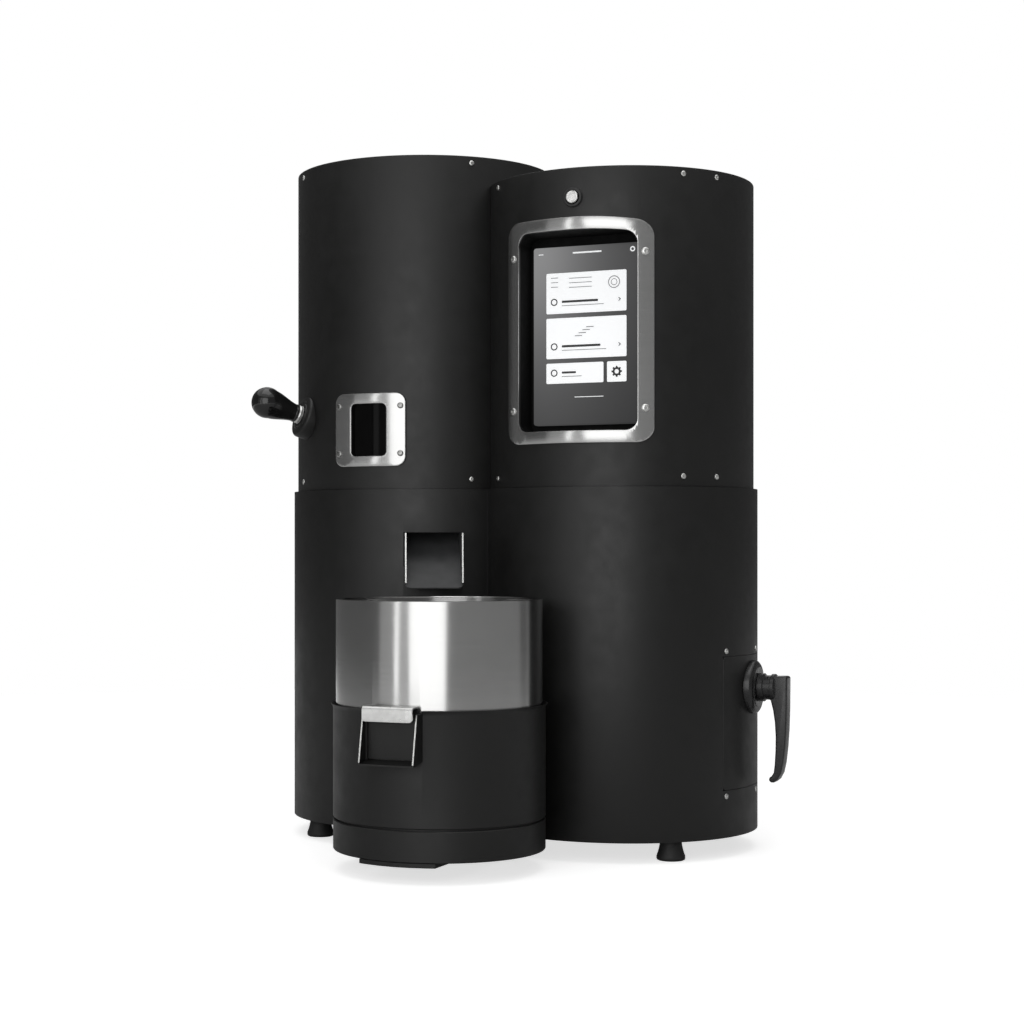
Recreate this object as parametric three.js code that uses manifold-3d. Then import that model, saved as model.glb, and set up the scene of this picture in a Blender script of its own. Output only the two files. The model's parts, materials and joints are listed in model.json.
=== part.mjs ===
// Home coffee bean roaster: two joined towers, a cooling bin in front, a chaff drawer at the side.
// Millimetres, +Z up, front is -Y. Angles round a tower or the bin run from the front to the right.
import * as THREE from 'three';
import { mergeVertices } from 'three/addons/utils/BufferGeometryUtils.js';
import Module from 'manifold-3d';

const wasm = await Module();
wasm.setup();

// Driving dimensions of the machine.
const towerRadius = 136;
const lowerRadius = 140;
const towerSpacing = 220;
const footHeight = 20;
const seamHeight = 362;
const rightTop = seamHeight + 308;
const leftTop = seamHeight + 336;
const sheet = 2;
const thinSheet = 1.5;
const clearance = 0.3;
const overrun = 6;
const smallestEdge = 0.02;

// Facets of round forms.
const smallTurns = 12;
const mediumTurns = 20;
const innerTurns = 12;
const binTurns = 36;
const towerTurns = 40;
const hingeTurns = 16;
const fullTurn = Math.PI * 2;
const facetAngle = fullTurn / towerTurns;

function radians(degrees) {
  return THREE.MathUtils.degToRad(degrees);
}

// Points of an arc about (x, y), with every corner on the same grid of angles.
function arcPoints(x, y, radius, from, to, step = facetAngle) {
  const angles = [from];
  const slack = step / 20;
  for (let k = Math.ceil((from + slack) / step); k * step < to - slack; k += 1) {
    angles.push(k * step);
  }
  angles.push(to);
  return angles.map((a) => new THREE.Vector2(x + radius * Math.sin(a), y - radius * Math.cos(a)));
}

function circlePoints(x, y, radius, step = facetAngle) {
  const points = arcPoints(x, y, radius, 0, fullTurn, step);
  points.pop();
  return points;
}

function circleShape(x, y, radius, step = facetAngle) {
  return new THREE.Shape(circlePoints(x, y, radius, step));
}

function boxShape(x0, y0, x1, y1) {
  const corners = [[x0, y0], [x1, y0], [x1, y1], [x0, y1]];
  return new THREE.Shape(corners.map((c) => new THREE.Vector2(...c)));
}

function roundedShape(x0, y0, x1, y1, radius) {
  const shape = new THREE.Shape();
  shape.moveTo(x0 + radius, y0);
  shape.lineTo(x1 - radius, y0);
  shape.absarc(x1 - radius, y0 + radius, radius, -Math.PI / 2, 0);
  shape.lineTo(x1, y1 - radius);
  shape.absarc(x1 - radius, y1 - radius, radius, 0, Math.PI / 2);
  shape.lineTo(x0 + radius, y1);
  shape.absarc(x0 + radius, y1 - radius, radius, Math.PI / 2, Math.PI);
  shape.lineTo(x0, y0 + radius);
  shape.absarc(x0 + radius, y0 + radius, radius, Math.PI, Math.PI * 1.5);
  return shape;
}

// A plan outline raised between two heights.
function raise(shape, low, high, cornerSteps = 2) {
  const options = { depth: high - low, bevelEnabled: false, curveSegments: cornerSteps };
  return new THREE.ExtrudeGeometry(shape, options).translate(0, 0, low);
}

// An outline in the upright plane (x, z), pushed along Y between two depths.
function push(shape, nearY, farY, cornerSteps = 2) {
  const geometry = raise(shape, 0, farY - nearY, cornerSteps);
  return geometry.rotateX(Math.PI / 2).translate(0, farY, 0);
}

// A side outline (out, z), where out is measured towards the front, as wide as from left to right.
function sideways(shape, left, right) {
  return raise(shape, left, right).rotateX(Math.PI / 2).rotateZ(-Math.PI / 2);
}

// A profile of (radius, height) points turned about the Z axis.
function turn(profile, turns = towerTurns) {
  const points = profile.map((p) => new THREE.Vector2(...p));
  const area = THREE.ShapeUtils.area(points);
  if (area < 0) {
    points.reverse();
  }
  points.push(points[0].clone());
  return new THREE.LatheGeometry(points, turns).rotateX(Math.PI / 2);
}

function box(x0, y0, z0, x1, y1, z1) {
  return raise(boxShape(x0, y0, x1, y1), z0, z1);
}

// A round bar along Z.
function bar(radius, low, high, turns = smallTurns) {
  return turn([[0, low], [radius, low], [radius, high], [0, high]], turns);
}

// Turned forms point up; this lays them down so that up becomes outward, towards the front.
function layOut(geometry) {
  return geometry.rotateX(Math.PI / 2);
}

// Shared corners merged and slivers without area dropped, so that the surface is closed.
function sealed(geometry) {
  const bare = geometry.clone();
  bare.deleteAttribute('normal');
  bare.deleteAttribute('uv');
  const mergeDistance = 1e-4;
  const merged = mergeVertices(bare, mergeDistance);
  const index = merged.index.array;
  const kept = [];
  for (let i = 0; i < index.length; i += 3) {
    const [a, b, c] = [index[i], index[i + 1], index[i + 2]];
    if (a !== b && b !== c && c !== a) {
      kept.push(a, b, c);
    }
  }
  merged.setIndex(kept);
  return merged;
}

function solid(form) {
  if (form instanceof wasm.Manifold) {
    return form;
  }
  const closed = sealed(form);
  return new wasm.Manifold(new wasm.Mesh({
    numProp: 3,
    vertProperties: Float32Array.from(closed.attributes.position.array),
    triVerts: Uint32Array.from(closed.index.array),
  }));
}

function join(...forms) {
  return forms.map(solid).reduce((sum, form) => sum.add(form));
}

function cut(form, ...cutters) {
  return cutters.map(solid).reduce((rest, cutter) => rest.subtract(cutter), solid(form));
}

function common(form, other) {
  return solid(form).intersect(solid(other));
}

function surface(form) {
  if (!(form instanceof wasm.Manifold)) {
    return sealed(form);
  }
  const mesh = form.simplify(smallestEdge).getMesh();
  const geometry = new THREE.BufferGeometry();
  geometry.setAttribute('position', new THREE.BufferAttribute(mesh.vertProperties, mesh.numProp));
  geometry.setIndex(new THREE.BufferAttribute(mesh.triVerts, 1));
  return geometry;
}

function finish(color, roughness, metalness) {
  return new THREE.MeshStandardMaterial({ color, roughness, metalness });
}

const finishes = {
  powderCoat: () => finish(0x1c1c1a, 0.55, 0.1),
  innerSteel: () => finish(0x9a9a98, 0.4, 0.9),
  brushedSteel: () => finish(0xb8b8b4, 0.35, 1),
  galvanised: () => finish(0x8d9194, 0.55, 0.8),
  rubber: () => finish(0x141414, 0.85, 0),
  blackPlastic: () => finish(0x181818, 0.4, 0),
  darkGlass: () => finish(0x0a0a0c, 0.08, 0),
  screenGlass: () => finish(0x2a2c30, 0.2, 0),
  ceramic: () => finish(0xb9b2a6, 0.8, 0),
  boardGreen: () => finish(0x1f5a3a, 0.6, 0),
  motorGrey: () => finish(0x5d6064, 0.5, 0.6),
};

const machine = new THREE.Group();
const leftTower = new THREE.Group();
const rightTower = new THREE.Group();
rightTower.position.x = towerSpacing;
const coolingBin = new THREE.Group();
machine.add(leftTower, rightTower, coolingBin);

function place(name, form, material, parent, angle = 0) {
  const mesh = new THREE.Mesh(surface(form), material);
  mesh.name = name;
  mesh.rotation.z = angle;
  parent.add(mesh);
  return mesh;
}

// Both casings stand on plates that fill their inside.
const innerLowerRadius = lowerRadius - sheet;
const innerUpperRadius = towerRadius - sheet;
const plateRadius = innerLowerRadius - clearance;
const baseThickness = 4;
const deckThickness = 3;
const baseTop = footHeight + baseThickness;
const deckLow = seamHeight - deckThickness;
const upperLow = seamHeight + clearance;

// A plan outline of both towers at one radius.
function twinPrism(radius, low, high) {
  const left = raise(circleShape(0, 0, radius), low, high);
  const right = raise(circleShape(towerSpacing, 0, radius), low, high);
  return join(left, right);
}

// Moves a form made at the front of a tower to its angle and tower.
function about(form, towerX, angle) {
  return form.rotateZ(angle).translate(towerX, 0, 0);
}

// Cooling bin, in front of both towers and all but touching the right one.
const binRadius = 100.5;
const binLip = 2.5;
const binGap = 1;
const binX = 117;
const binReach = lowerRadius + binRadius + binLip + binGap;
const binY = -Math.sqrt(binReach ** 2 - (towerSpacing - binX) ** 2);
coolingBin.position.set(binX, binY, 0);

// Discharge chute: its side outline, grown by a clearance for what it passes through.
const chuteAngle = Math.atan2(binX, -binY);
const chuteHalfWidth = 29;
const chuteInner = 52;
const chuteOuter = 84;
const chuteTop = seamHeight + 24;
const chuteSlopeTop = deckLow - 1;
const chuteLip = 169;
const chuteLipHeight = seamHeight - 100.5;
const chuteCheekOut = 165;
const chuteCheekTop = chuteLipHeight + 56.5;
const chuteRoofOut = 131;
const chuteSlope = (chuteSlopeTop - chuteLipHeight) / (chuteLip - chuteInner);

function chuteOutline(grow) {
  const drop = grow * Math.hypot(1, chuteSlope);
  const floorAt = (out) => chuteSlopeTop - (out - chuteInner) * chuteSlope - drop;
  const roofLow = chuteCheekTop + (chuteRoofOut - chuteOuter) * chuteSlope;
  const points = [
    [chuteInner - grow, chuteTop + grow],
    [chuteInner - grow, floorAt(chuteInner - grow)],
    [chuteLip, floorAt(chuteLip)],
    [chuteCheekOut + grow, chuteCheekTop + grow],
    [chuteRoofOut + grow, chuteCheekTop + grow],
    [chuteOuter + grow, roofLow + grow],
    [chuteOuter + grow, chuteTop + grow],
  ];
  return new THREE.Shape(points.map((p) => new THREE.Vector2(...p)));
}

function chutePassage() {
  const halfWidth = chuteHalfWidth + clearance;
  return sideways(chuteOutline(clearance), -halfWidth, halfWidth);
}

// Chaff door, drawer and latch, on the right side.
const doorAngle = radians(90);
const doorHalfAngle = radians(25);
const doorLow = 66;
const doorHigh = 197;
const latchHeight = 164;
const latchShaftRadius = 5;

function doorSector(inner, outer, halfAngle, low, high) {
  const points = arcPoints(0, 0, outer, doorAngle - halfAngle, doorAngle + halfAngle);
  const back = arcPoints(0, 0, inner, doorAngle - halfAngle, doorAngle + halfAngle).reverse();
  return raise(new THREE.Shape([...points, ...back]), low, high);
}

// Service plate at the back of the left tower.
const serviceHalfWidth = 45;
const serviceLow = 52;
const serviceHigh = 132;
const serviceRim = 4;
const slotWidth = 5;
const slotCount = 6;
const lowerSlotLow = 205;
const upperSlotLow = seamHeight + 63;
const slotLength = 76;

// A row of upright cooling slots at the back of a tower, one to each facet.
function backSlots(towerX, radius, low) {
  const slots = [];
  for (let k = 0; k < slotCount; k += 1) {
    const angle = Math.PI + (k - (slotCount - 1) / 2) * facetAngle;
    const half = slotWidth / 2;
    const slot = box(-half, -radius - overrun, low, half, -radius + overrun, low + slotLength);
    slots.push(about(slot, towerX, angle));
  }
  return slots;
}

function makeLowerCasing() {
  const shell = cut(
    twinPrism(lowerRadius, footHeight, seamHeight),
    twinPrism(innerLowerRadius, footHeight - overrun, seamHeight + overrun),
  );
  const doorInner = innerLowerRadius - overrun;
  const doorway = doorSector(doorInner, lowerRadius + overrun, doorHalfAngle, doorLow, doorHigh);
  const serviceHole = box(
    -serviceHalfWidth + serviceRim, innerLowerRadius - overrun * 3, serviceLow + serviceRim,
    serviceHalfWidth - serviceRim, lowerRadius + overrun, serviceHigh - serviceRim,
  );
  return cut(
    shell,
    about(chutePassage(), 0, chuteAngle),
    doorway.translate(towerSpacing, 0, 0),
    serviceHole,
    ...backSlots(0, lowerRadius, lowerSlotLow),
    ...backSlots(towerSpacing, lowerRadius, lowerSlotLow),
  );
}

// Agitator drive, under and through the deck.
const shaftRadius = 5;
const bushRadius = 12;
const bushFlange = 18;
const motorRadius = 38;
const motorHeight = 66;

// Chaff duct, from the chamber to the cyclone.
const ductRadius = 20;
const ductX = 172;
const ductY = 42;

// Cyclone and blower, on one axis in the right tower.
const cycloneX = 30;
const cycloneRadius = 62;
const cycloneOutletRadius = 24;
const suctionRadius = 22;

function makeDeck() {
  const plate = twinPrism(plateRadius, deckLow, seamHeight);
  const low = deckLow - overrun;
  const high = seamHeight + overrun;
  const chuteHole = box(
    -chuteHalfWidth - clearance, -chuteOuter - clearance, low,
    chuteHalfWidth + clearance, -chuteInner + clearance, high,
  );
  return cut(
    plate,
    bar(bushRadius, low, high, innerTurns),
    about(chuteHole, 0, chuteAngle),
    bar(ductRadius + clearance, low, high, innerTurns).translate(ductX, ductY, 0),
    bar(suctionRadius + clearance, low, high, innerTurns).translate(towerSpacing + cycloneX, 0, 0),
  );
}

// Sight window, at the front of the left tower.
const windowHalfWidth = 39.5;
const windowLow = seamHeight + 23;
const windowHigh = windowLow + 74;
const windowCorner = 10;
const glassHalfWidth = 19.6;
const glassLow = windowLow + 10.5;
const glassHigh = windowHigh - 10.5;
const glassCorner = 5;
const frameThickness = 2.5;
const glassThickness = 3;
const glassLap = 5;

// Trier, through the left tower's wall.
const trierAngle = radians(-41);
const trierHeight = seamHeight + 77;
const trierTilt = radians(18);
const trierTubeRadius = 10;
const trierBore = 7.2;
const trierShank = 6.5;
const escutcheonRadius = 22.5;
const escutcheonOut = 7;

// Lays a form that points up along the trier's axis, whose zero is on the wall of the tower.
function alongTrier(form) {
  return layOut(form).rotateX(-trierTilt).translate(0, -towerRadius, trierHeight);
}

function trierPassage() {
  const reach = towerRadius;
  const hole = alongTrier(bar(trierTubeRadius + clearance, -reach / 2, reach / 2));
  return hole.rotateZ(trierAngle);
}

// The chaff duct leaves the chamber's side, crosses into the right tower and drops to the cyclone.
const ductCrossing = seamHeight + 168;
const ductBend = 40;
const ductSag = 4;
const ductLean = 5;
const ductLift = 13.3333;
const cycloneInletHeight = seamHeight - 48;

function makeUpperCasingLeft() {
  const ring = circleShape(0, 0, towerRadius);
  ring.holes.push(new THREE.Path(circlePoints(0, 0, innerUpperRadius)));
  const sight = roundedShape(-glassHalfWidth, glassLow, glassHalfWidth, glassHigh, glassCorner);
  const crossing = bar(ductRadius + clearance, 0, towerRadius * 2, innerTurns);
  return cut(
    raise(ring, upperLow, leftTop),
    push(sight, -towerRadius - overrun, -innerUpperRadius / 2),
    trierPassage(),
    crossing.rotateY(Math.PI / 2).translate(0, ductY, ductCrossing),
  );
}

// Display, at the front of the right tower.
const bezelHalfWidth = 75.6;
const bezelLow = seamHeight + 42;
const bezelHigh = bezelLow + 218;
const bezelCorner = 22;
const bezelThickness = 3;
const openHalfWidth = 61.4;
const openLow = bezelLow + 12;
const openHigh = bezelHigh - 12;
const openCorner = 10;
const tabletHalfWidth = 55.5;
const tabletLow = openLow + 8;
const tabletHigh = openHigh - 10;
const tabletFront = 99.5;
const tabletThickness = 9;
const tabletCorner = 6;

// Power button, above the display.
const buttonHeight = bezelHigh + 19;
const buttonRadius = 6.5;
const buttonBarrel = 8.2;
const buttonFlange = 9.5;

// Exhaust collar, at the back of the right tower.
const collarHeight = rightTop - 78;
const collarRadius = 40;
const collarFlare = 28;
const collarOut = 34;
const collarFlange = 12;
const collarFlangeThickness = 3;

function makeUpperCasingRight() {
  const ring = circleShape(0, 0, towerRadius);
  ring.holes.push(new THREE.Path(circlePoints(0, 0, innerUpperRadius)));
  const leftTowerSpace = circleShape(-towerSpacing, 0, towerRadius + clearance);
  const opening = roundedShape(-openHalfWidth, openLow, openHalfWidth, openHigh, openCorner);
  const buttonHole = layOut(bar(buttonBarrel + clearance, 0, towerRadius * 2));
  const collarHole = layOut(bar(collarRadius + clearance, -towerRadius * 2, 0, mediumTurns));
  return cut(
    raise(ring, upperLow, rightTop),
    raise(leftTowerSpace, upperLow - overrun, rightTop + overrun),
    push(opening, -towerRadius - overrun, -tabletFront),
    buttonHole.translate(0, 0, buttonHeight),
    collarHole.translate(0, 0, collarHeight),
    ...backSlots(0, towerRadius, upperSlotLow),
  );
}

// Recessed top plates; the rims stand above them.
const rimDepth = 10;
const hopperHoleRadius = 58;
const topVentCount = 5;
const topVentPitch = 18;
const topVentHalfLength = 40;
const topVentHalfWidth = 3;
const topVentX = 20;

function makeTopPlates() {
  const radius = innerUpperRadius - clearance;
  const left = circleShape(0, 0, radius);
  left.holes.push(new THREE.Path(circlePoints(0, 0, hopperHoleRadius)));
  const leftHigh = leftTop - rimDepth;
  place('top_plate_left', raise(left, leftHigh - sheet, leftHigh), finishes.powderCoat(), leftTower);

  const rightHigh = rightTop - rimDepth;
  const vents = [];
  for (let k = 0; k < topVentCount; k += 1) {
    const y = (k - (topVentCount - 1) / 2) * topVentPitch;
    vents.push(box(
      topVentX - topVentHalfLength, y - topVentHalfWidth, rightHigh - overrun,
      topVentX + topVentHalfLength, y + topVentHalfWidth, rightHigh + overrun,
    ));
  }
  const leftTowerSpace = circleShape(-towerSpacing, 0, towerRadius + clearance);
  const right = cut(
    raise(circleShape(0, 0, radius), rightHigh - sheet, rightHigh),
    raise(leftTowerSpace, rightHigh - overrun, rightHigh + overrun),
    ...vents,
  );
  place('top_plate_right', right, finishes.powderCoat(), rightTower);
}

// Tapered rubber feet under the base plate.
const footBottomRadius = 14;
const footTopRadius = 10.5;
const footFlare = 5;
const footReach = 118;
const footAngle = radians(44);

function makeFeet() {
  const low = 0;
  const high = footHeight - clearance;
  const profile = [
    [0, low], [footBottomRadius, low], [footBottomRadius, footFlare], [footTopRadius, high], [0, high],
  ];
  const corners = [
    ['foot_front_left', leftTower, -1, -1],
    ['foot_rear_left', leftTower, -1, 1],
    ['foot_front_right', rightTower, 1, -1],
    ['foot_rear_right', rightTower, 1, 1],
  ];
  for (const [name, parent, side, depth] of corners) {
    const foot = place(name, turn(profile, smallTurns), finishes.rubber(), parent);
    foot.position.x = side * footReach * Math.sin(footAngle);
    foot.position.y = depth * footReach * Math.cos(footAngle);
  }
}

// Charge hopper in the left top plate, with its hinged lid.
const hopperRimRadius = 64;
const hopperMouth = 56;
const hopperNeck = 24;
const hopperNeckTop = leftTop - 58;
const lidThickness = 4;
const lidRadius = 62;
const lidHingeOut = 74;
const hingePinRadius = 2.5;
const hingeBarrel = 5;
const hingeHalfLength = 22;
const hingeLugWidth = 8;
const knobRadius = 11;
const knobHeight = 18;
const knobShoulder = 15.3;
const knobTopRadius = 7.7;
const coverTop = leftTop - 135;

function makeHopper() {
  const plateHigh = leftTop - rimDepth;
  const flangeLow = plateHigh + clearance;
  const flangeHigh = flangeLow + sheet;
  const neckLow = coverTop - sheet;
  const profile = [
    [hopperRimRadius, flangeLow], [hopperRimRadius, flangeHigh], [hopperMouth - thinSheet, flangeHigh],
    [hopperNeck - thinSheet, hopperNeckTop], [hopperNeck - thinSheet, neckLow],
    [hopperNeck, neckLow], [hopperNeck, hopperNeckTop - thinSheet], [hopperMouth, flangeLow],
  ];
  place('charge_hopper', turn(profile, mediumTurns), finishes.innerSteel(), leftTower);

  // The hinge stands behind the hopper on the top plate; its pin carries the lid's barrel.
  const lidLow = flangeHigh + clearance;
  const pinHeight = lidLow + hingeBarrel;
  const lugInner = hingeHalfLength - hingeLugWidth;
  const acrossX = (form) => form.rotateY(Math.PI / 2).translate(0, lidHingeOut, pinHeight);
  const lugs = [];
  for (const side of [-1, 1]) {
    const x0 = Math.min(side * lugInner, side * hingeHalfLength);
    const x1 = Math.max(side * lugInner, side * hingeHalfLength);
    lugs.push(box(
      x0, lidHingeOut - hingeBarrel, plateHigh + clearance,
      x1, lidHingeOut + hingeBarrel, pinHeight,
    ));
    lugs.push(acrossX(bar(hingeBarrel, x0, x1)));
  }
  const foot = box(
    -hingeHalfLength, lidHingeOut - hingeBarrel, plateHigh + clearance,
    hingeHalfLength, lidHingeOut + hingeBarrel * 3, plateHigh + clearance + sheet,
  );
  const pin = acrossX(bar(hingePinRadius, -hingeHalfLength, hingeHalfLength, hingeTurns));
  const rimSpace = bar(hopperRimRadius + clearance, plateHigh, lidLow, mediumTurns);
  const bracket = join(cut(join(foot, ...lugs), rimSpace), pin);
  place('lid_hinge_bracket', bracket, finishes.innerSteel(), leftTower);

  const disc = bar(lidRadius, lidLow, lidLow + lidThickness, mediumTurns);
  const barrelHalf = lugInner - clearance * 2;
  const arm = box(-barrelHalf, lidRadius / 2, lidLow, barrelHalf, lidHingeOut, lidLow + lidThickness);
  const barrel = acrossX(bar(hingeBarrel, -barrelHalf, barrelHalf));
  const boreRadius = hingePinRadius + clearance;
  const bore = acrossX(bar(boreRadius, -hingeHalfLength, hingeHalfLength, hingeTurns));
  const knobLow = lidLow + lidThickness;
  const knob = turn([
    [0, knobLow - sheet], [knobRadius / 2, knobLow - sheet], [knobRadius / 2, knobLow + knobHeight / 3],
    [knobRadius, knobLow + knobHeight / 2], [knobRadius, knobLow + knobShoulder],
    [knobTopRadius, knobLow + knobHeight], [0, knobLow + knobHeight],
  ], smallTurns);
  place('charge_lid', cut(join(disc, arm, barrel, knob), bore), finishes.brushedSteel(), leftTower);
}

// Roasting chamber on the deck: a steel drum with a welded sight tunnel.
const chamberRadius = 92;
const chamberTop = coverTop - 3;
const chamberTurns = 24;
const floorHeight = chuteTop + 2;
const floorThickness = 2;
const tunnelWall = 2;
const dischargeHalfWidth = 25;
const dischargeInner = 56;
const dischargeOuter = 80;
const gateThickness = 1.4;
const gateTravel = 28;
const railWidth = 4.5;

function makeChamber() {
  const inner = chamberRadius - sheet;
  const low = upperLow;
  const wall = [[inner, low], [chamberRadius, low], [chamberRadius, chamberTop], [inner, chamberTop]];
  const drum = turn(wall, chamberTurns);
  const wide = glassHalfWidth + glassLap;
  const lowEdge = glassLow - glassLap;
  const highEdge = glassHigh + glassLap;
  const tunnelOuter = roundedShape(-wide, lowEdge, wide, highEdge, glassCorner);
  const tunnelInner = roundedShape(
    -wide + tunnelWall, lowEdge + tunnelWall,
    wide - tunnelWall, highEdge - tunnelWall, glassCorner - tunnelWall,
  );
  const glassBack = innerUpperRadius - clearance - glassThickness - clearance;
  const tunnelLimit = raise(circleShape(0, 0, glassBack), low, chamberTop);
  const tunnel = common(push(tunnelOuter, -towerRadius, -inner + sheet), tunnelLimit);
  const drumCore = bar(inner, low - overrun, chamberTop + overrun, chamberTurns);
  const outletHole = bar(ductRadius + clearance, 0, chamberRadius * 2, innerTurns).rotateY(Math.PI / 2);
  const body = cut(
    join(drum, cut(tunnel, drumCore)),
    push(tunnelInner, -towerRadius, -inner + overrun),
    trierPassage(),
    outletHole.translate(0, ductY, ductCrossing),
  );
  place('roast_chamber', body, finishes.innerSteel(), leftTower);

  const cover = circleShape(0, 0, chamberRadius, fullTurn / chamberTurns);
  cover.holes.push(new THREE.Path(circlePoints(0, 0, hopperNeck + clearance, fullTurn / mediumTurns)));
  place('chamber_cover', raise(cover, chamberTop + clearance, coverTop), finishes.innerSteel(), leftTower);

  makeChamberFloor(inner - clearance);
}

const floorHoleRadius = 4;
const floorRows = [36];
const floorHoleAngle = radians(36);
const holeStep = radians(90);

function makeChamberFloor(radius) {
  const plate = circleShape(0, 0, radius, fullTurn / chamberTurns);
  plate.holes.push(new THREE.Path(circlePoints(0, 0, shaftRadius * 2, fullTurn / innerTurns)));
  for (const row of floorRows) {
    for (let a = 0; a < fullTurn - floorHoleAngle / 2; a += floorHoleAngle) {
      const x = row * Math.sin(a);
      const y = -row * Math.cos(a);
      plate.holes.push(new THREE.Path(circlePoints(x, y, floorHoleRadius, holeStep)));
    }
  }
  const outlet = box(
    -dischargeHalfWidth, -dischargeOuter, floorHeight - overrun,
    dischargeHalfWidth, -dischargeInner, floorHeight + overrun,
  );
  const floor = cut(raise(plate, floorHeight, floorHeight + floorThickness), outlet.rotateZ(chuteAngle));
  place('chamber_floor', floor, finishes.innerSteel(), leftTower);
}

function makeDischarge() {
  const floorRise = thinSheet * Math.hypot(1, chuteSlope);
  const inside = [
    [chuteInner + thinSheet, chuteTop + overrun],
    [chuteInner + thinSheet, chuteSlopeTop + floorRise - thinSheet * chuteSlope],
    [chuteLip + overrun, chuteLipHeight + floorRise - overrun * chuteSlope],
    [chuteLip + overrun, chuteCheekTop + overrun],
    [chuteRoofOut + overrun, chuteCheekTop + overrun],
    [chuteRoofOut - thinSheet, chuteCheekTop],
    [chuteOuter - thinSheet, chuteCheekTop + (chuteRoofOut - chuteOuter) * chuteSlope - thinSheet],
    [chuteOuter - thinSheet, chuteTop + overrun],
  ];
  const hollow = new THREE.Shape(inside.map((p) => new THREE.Vector2(...p)));
  const halfHollow = chuteHalfWidth - thinSheet;
  const railInner = chuteInner - gateTravel - thinSheet;
  const rails = [];
  for (const side of [-1, 1]) {
    const x0 = Math.min(side * chuteHalfWidth, side * (chuteHalfWidth - railWidth));
    const x1 = Math.max(side * chuteHalfWidth, side * (chuteHalfWidth - railWidth));
    rails.push(box(x0, -chuteOuter, chuteTop - thinSheet, x1, -railInner, chuteTop));
  }
  const channel = cut(
    sideways(chuteOutline(0), -chuteHalfWidth, chuteHalfWidth),
    sideways(hollow, -halfHollow, halfHollow),
  );
  place('discharge_chute', join(channel, ...rails), finishes.powderCoat(), leftTower, chuteAngle);

  const gateLow = chuteTop + clearance;
  const gate = box(
    -dischargeHalfWidth - sheet, -dischargeOuter - sheet, gateLow,
    dischargeHalfWidth + sheet, -dischargeInner + sheet, floorHeight - clearance,
  );
  place('discharge_gate', gate, finishes.innerSteel(), leftTower, chuteAngle);
}

const postRadius = 4;

// Heater: an open ring that leaves room for the chute.
const heaterInner = 42;
const heaterOuter = 84;
const heaterGap = radians(44);
const heaterLow = seamHeight + 6;
const heaterHigh = heaterLow + 7;
const heaterStep = radians(18);
const heaterStandShares = [0.15, 0.5, 0.85];

function makeHeater() {
  const from = chuteAngle + heaterGap;
  const to = chuteAngle + fullTurn - heaterGap;
  const outline = [
    ...arcPoints(0, 0, heaterOuter, from, to, heaterStep),
    ...arcPoints(0, 0, heaterInner, from, to, heaterStep).reverse(),
  ];
  const slab = raise(new THREE.Shape(outline), heaterLow, heaterHigh);
  const middle = (heaterInner + heaterOuter) / 2;
  const grooveLow = (heaterLow + heaterHigh) / 2;
  const groove = turn([
    [middle - sheet, grooveLow], [middle + sheet, grooveLow],
    [middle + sheet, heaterHigh + overrun], [middle - sheet, heaterHigh + overrun],
  ], innerTurns * 2);
  const stands = [];
  for (const share of heaterStandShares) {
    const a = from + (to - from) * share;
    const stand = bar(postRadius, seamHeight + clearance, heaterLow + sheet, innerTurns);
    stands.push(stand.translate(middle * Math.sin(a), -middle * Math.cos(a), 0));
  }
  place('air_heater', join(cut(slab, groove), ...stands), finishes.ceramic(), leftTower);
}

// Agitator: a gear motor under the deck, a flanged bush and three swept blades.
const bladeCount = 3;
const bladeReach = 82;
const bladeHeight = 7;
const bladeSweep = radians(24);
const bladeWidth = 6;
const hubRadius = 12;
const hubHeight = 9;
const hubShoulder = 5.4;
const hubTopRadius = 7.2;
const bladeLift = 1.5;
const bladeTaperShare = 1 / 3;
const bladeSteps = 6;
const motorNeckRadius = 26.6;
const motorNeck = 36.3;
const motorShoulder = 39.6;

function makeAgitator() {
  const motorHigh = deckLow - clearance;
  const motorLow = motorHigh - motorHeight;
  const motor = turn([
    [0, motorHigh - motorHeight], [motorNeckRadius, motorHigh - motorHeight],
    [motorNeckRadius, motorLow + motorNeck], [motorRadius, motorLow + motorShoulder],
    [motorRadius, motorHigh], [0, motorHigh],
  ], mediumTurns);
  place('agitator_motor', motor, finishes.motorGrey(), leftTower);

  const bushHigh = upperLow + sheet;
  const bush = turn([
    [shaftRadius + clearance, deckLow], [bushRadius - clearance, deckLow],
    [bushRadius - clearance, upperLow], [bushFlange, upperLow],
    [bushFlange, bushHigh], [shaftRadius + clearance, bushHigh],
  ], innerTurns);
  place('agitator_bearing', bush, finishes.galvanised(), leftTower);

  const low = floorHeight + floorThickness + bladeLift;
  const pieces = [
    bar(shaftRadius, deckLow, low + sheet),
    turn([
      [0, low], [hubRadius, low], [hubRadius, low + hubShoulder],
      [hubTopRadius, low + hubHeight], [0, low + hubHeight],
    ], smallTurns),
  ];
  for (let k = 0; k < bladeCount; k += 1) {
    const turned = (k * fullTurn) / bladeCount;
    const front = [];
    const back = [];
    for (let s = 0; s <= bladeSteps; s += 1) {
      const share = s / bladeSteps;
      const radius = hubRadius / 2 + (bladeReach - hubRadius / 2) * share;
      const lean = bladeSweep * share * share;
      const half = (bladeWidth / 2) * (1 - share * bladeTaperShare);
      const middle = new THREE.Vector2(radius * Math.sin(lean), -radius * Math.cos(lean));
      const across = new THREE.Vector2(Math.cos(lean), Math.sin(lean)).multiplyScalar(half);
      front.push(middle.clone().add(across));
      back.push(middle.clone().sub(across));
    }
    const blade = raise(new THREE.Shape([...front.reverse(), ...back]), low, low + bladeHeight);
    pieces.push(blade.rotateZ(turned));
  }
  place('agitator', join(...pieces), finishes.innerSteel(), leftTower);
}

const ductStep = radians(45);
const ductRings = 8;

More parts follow.
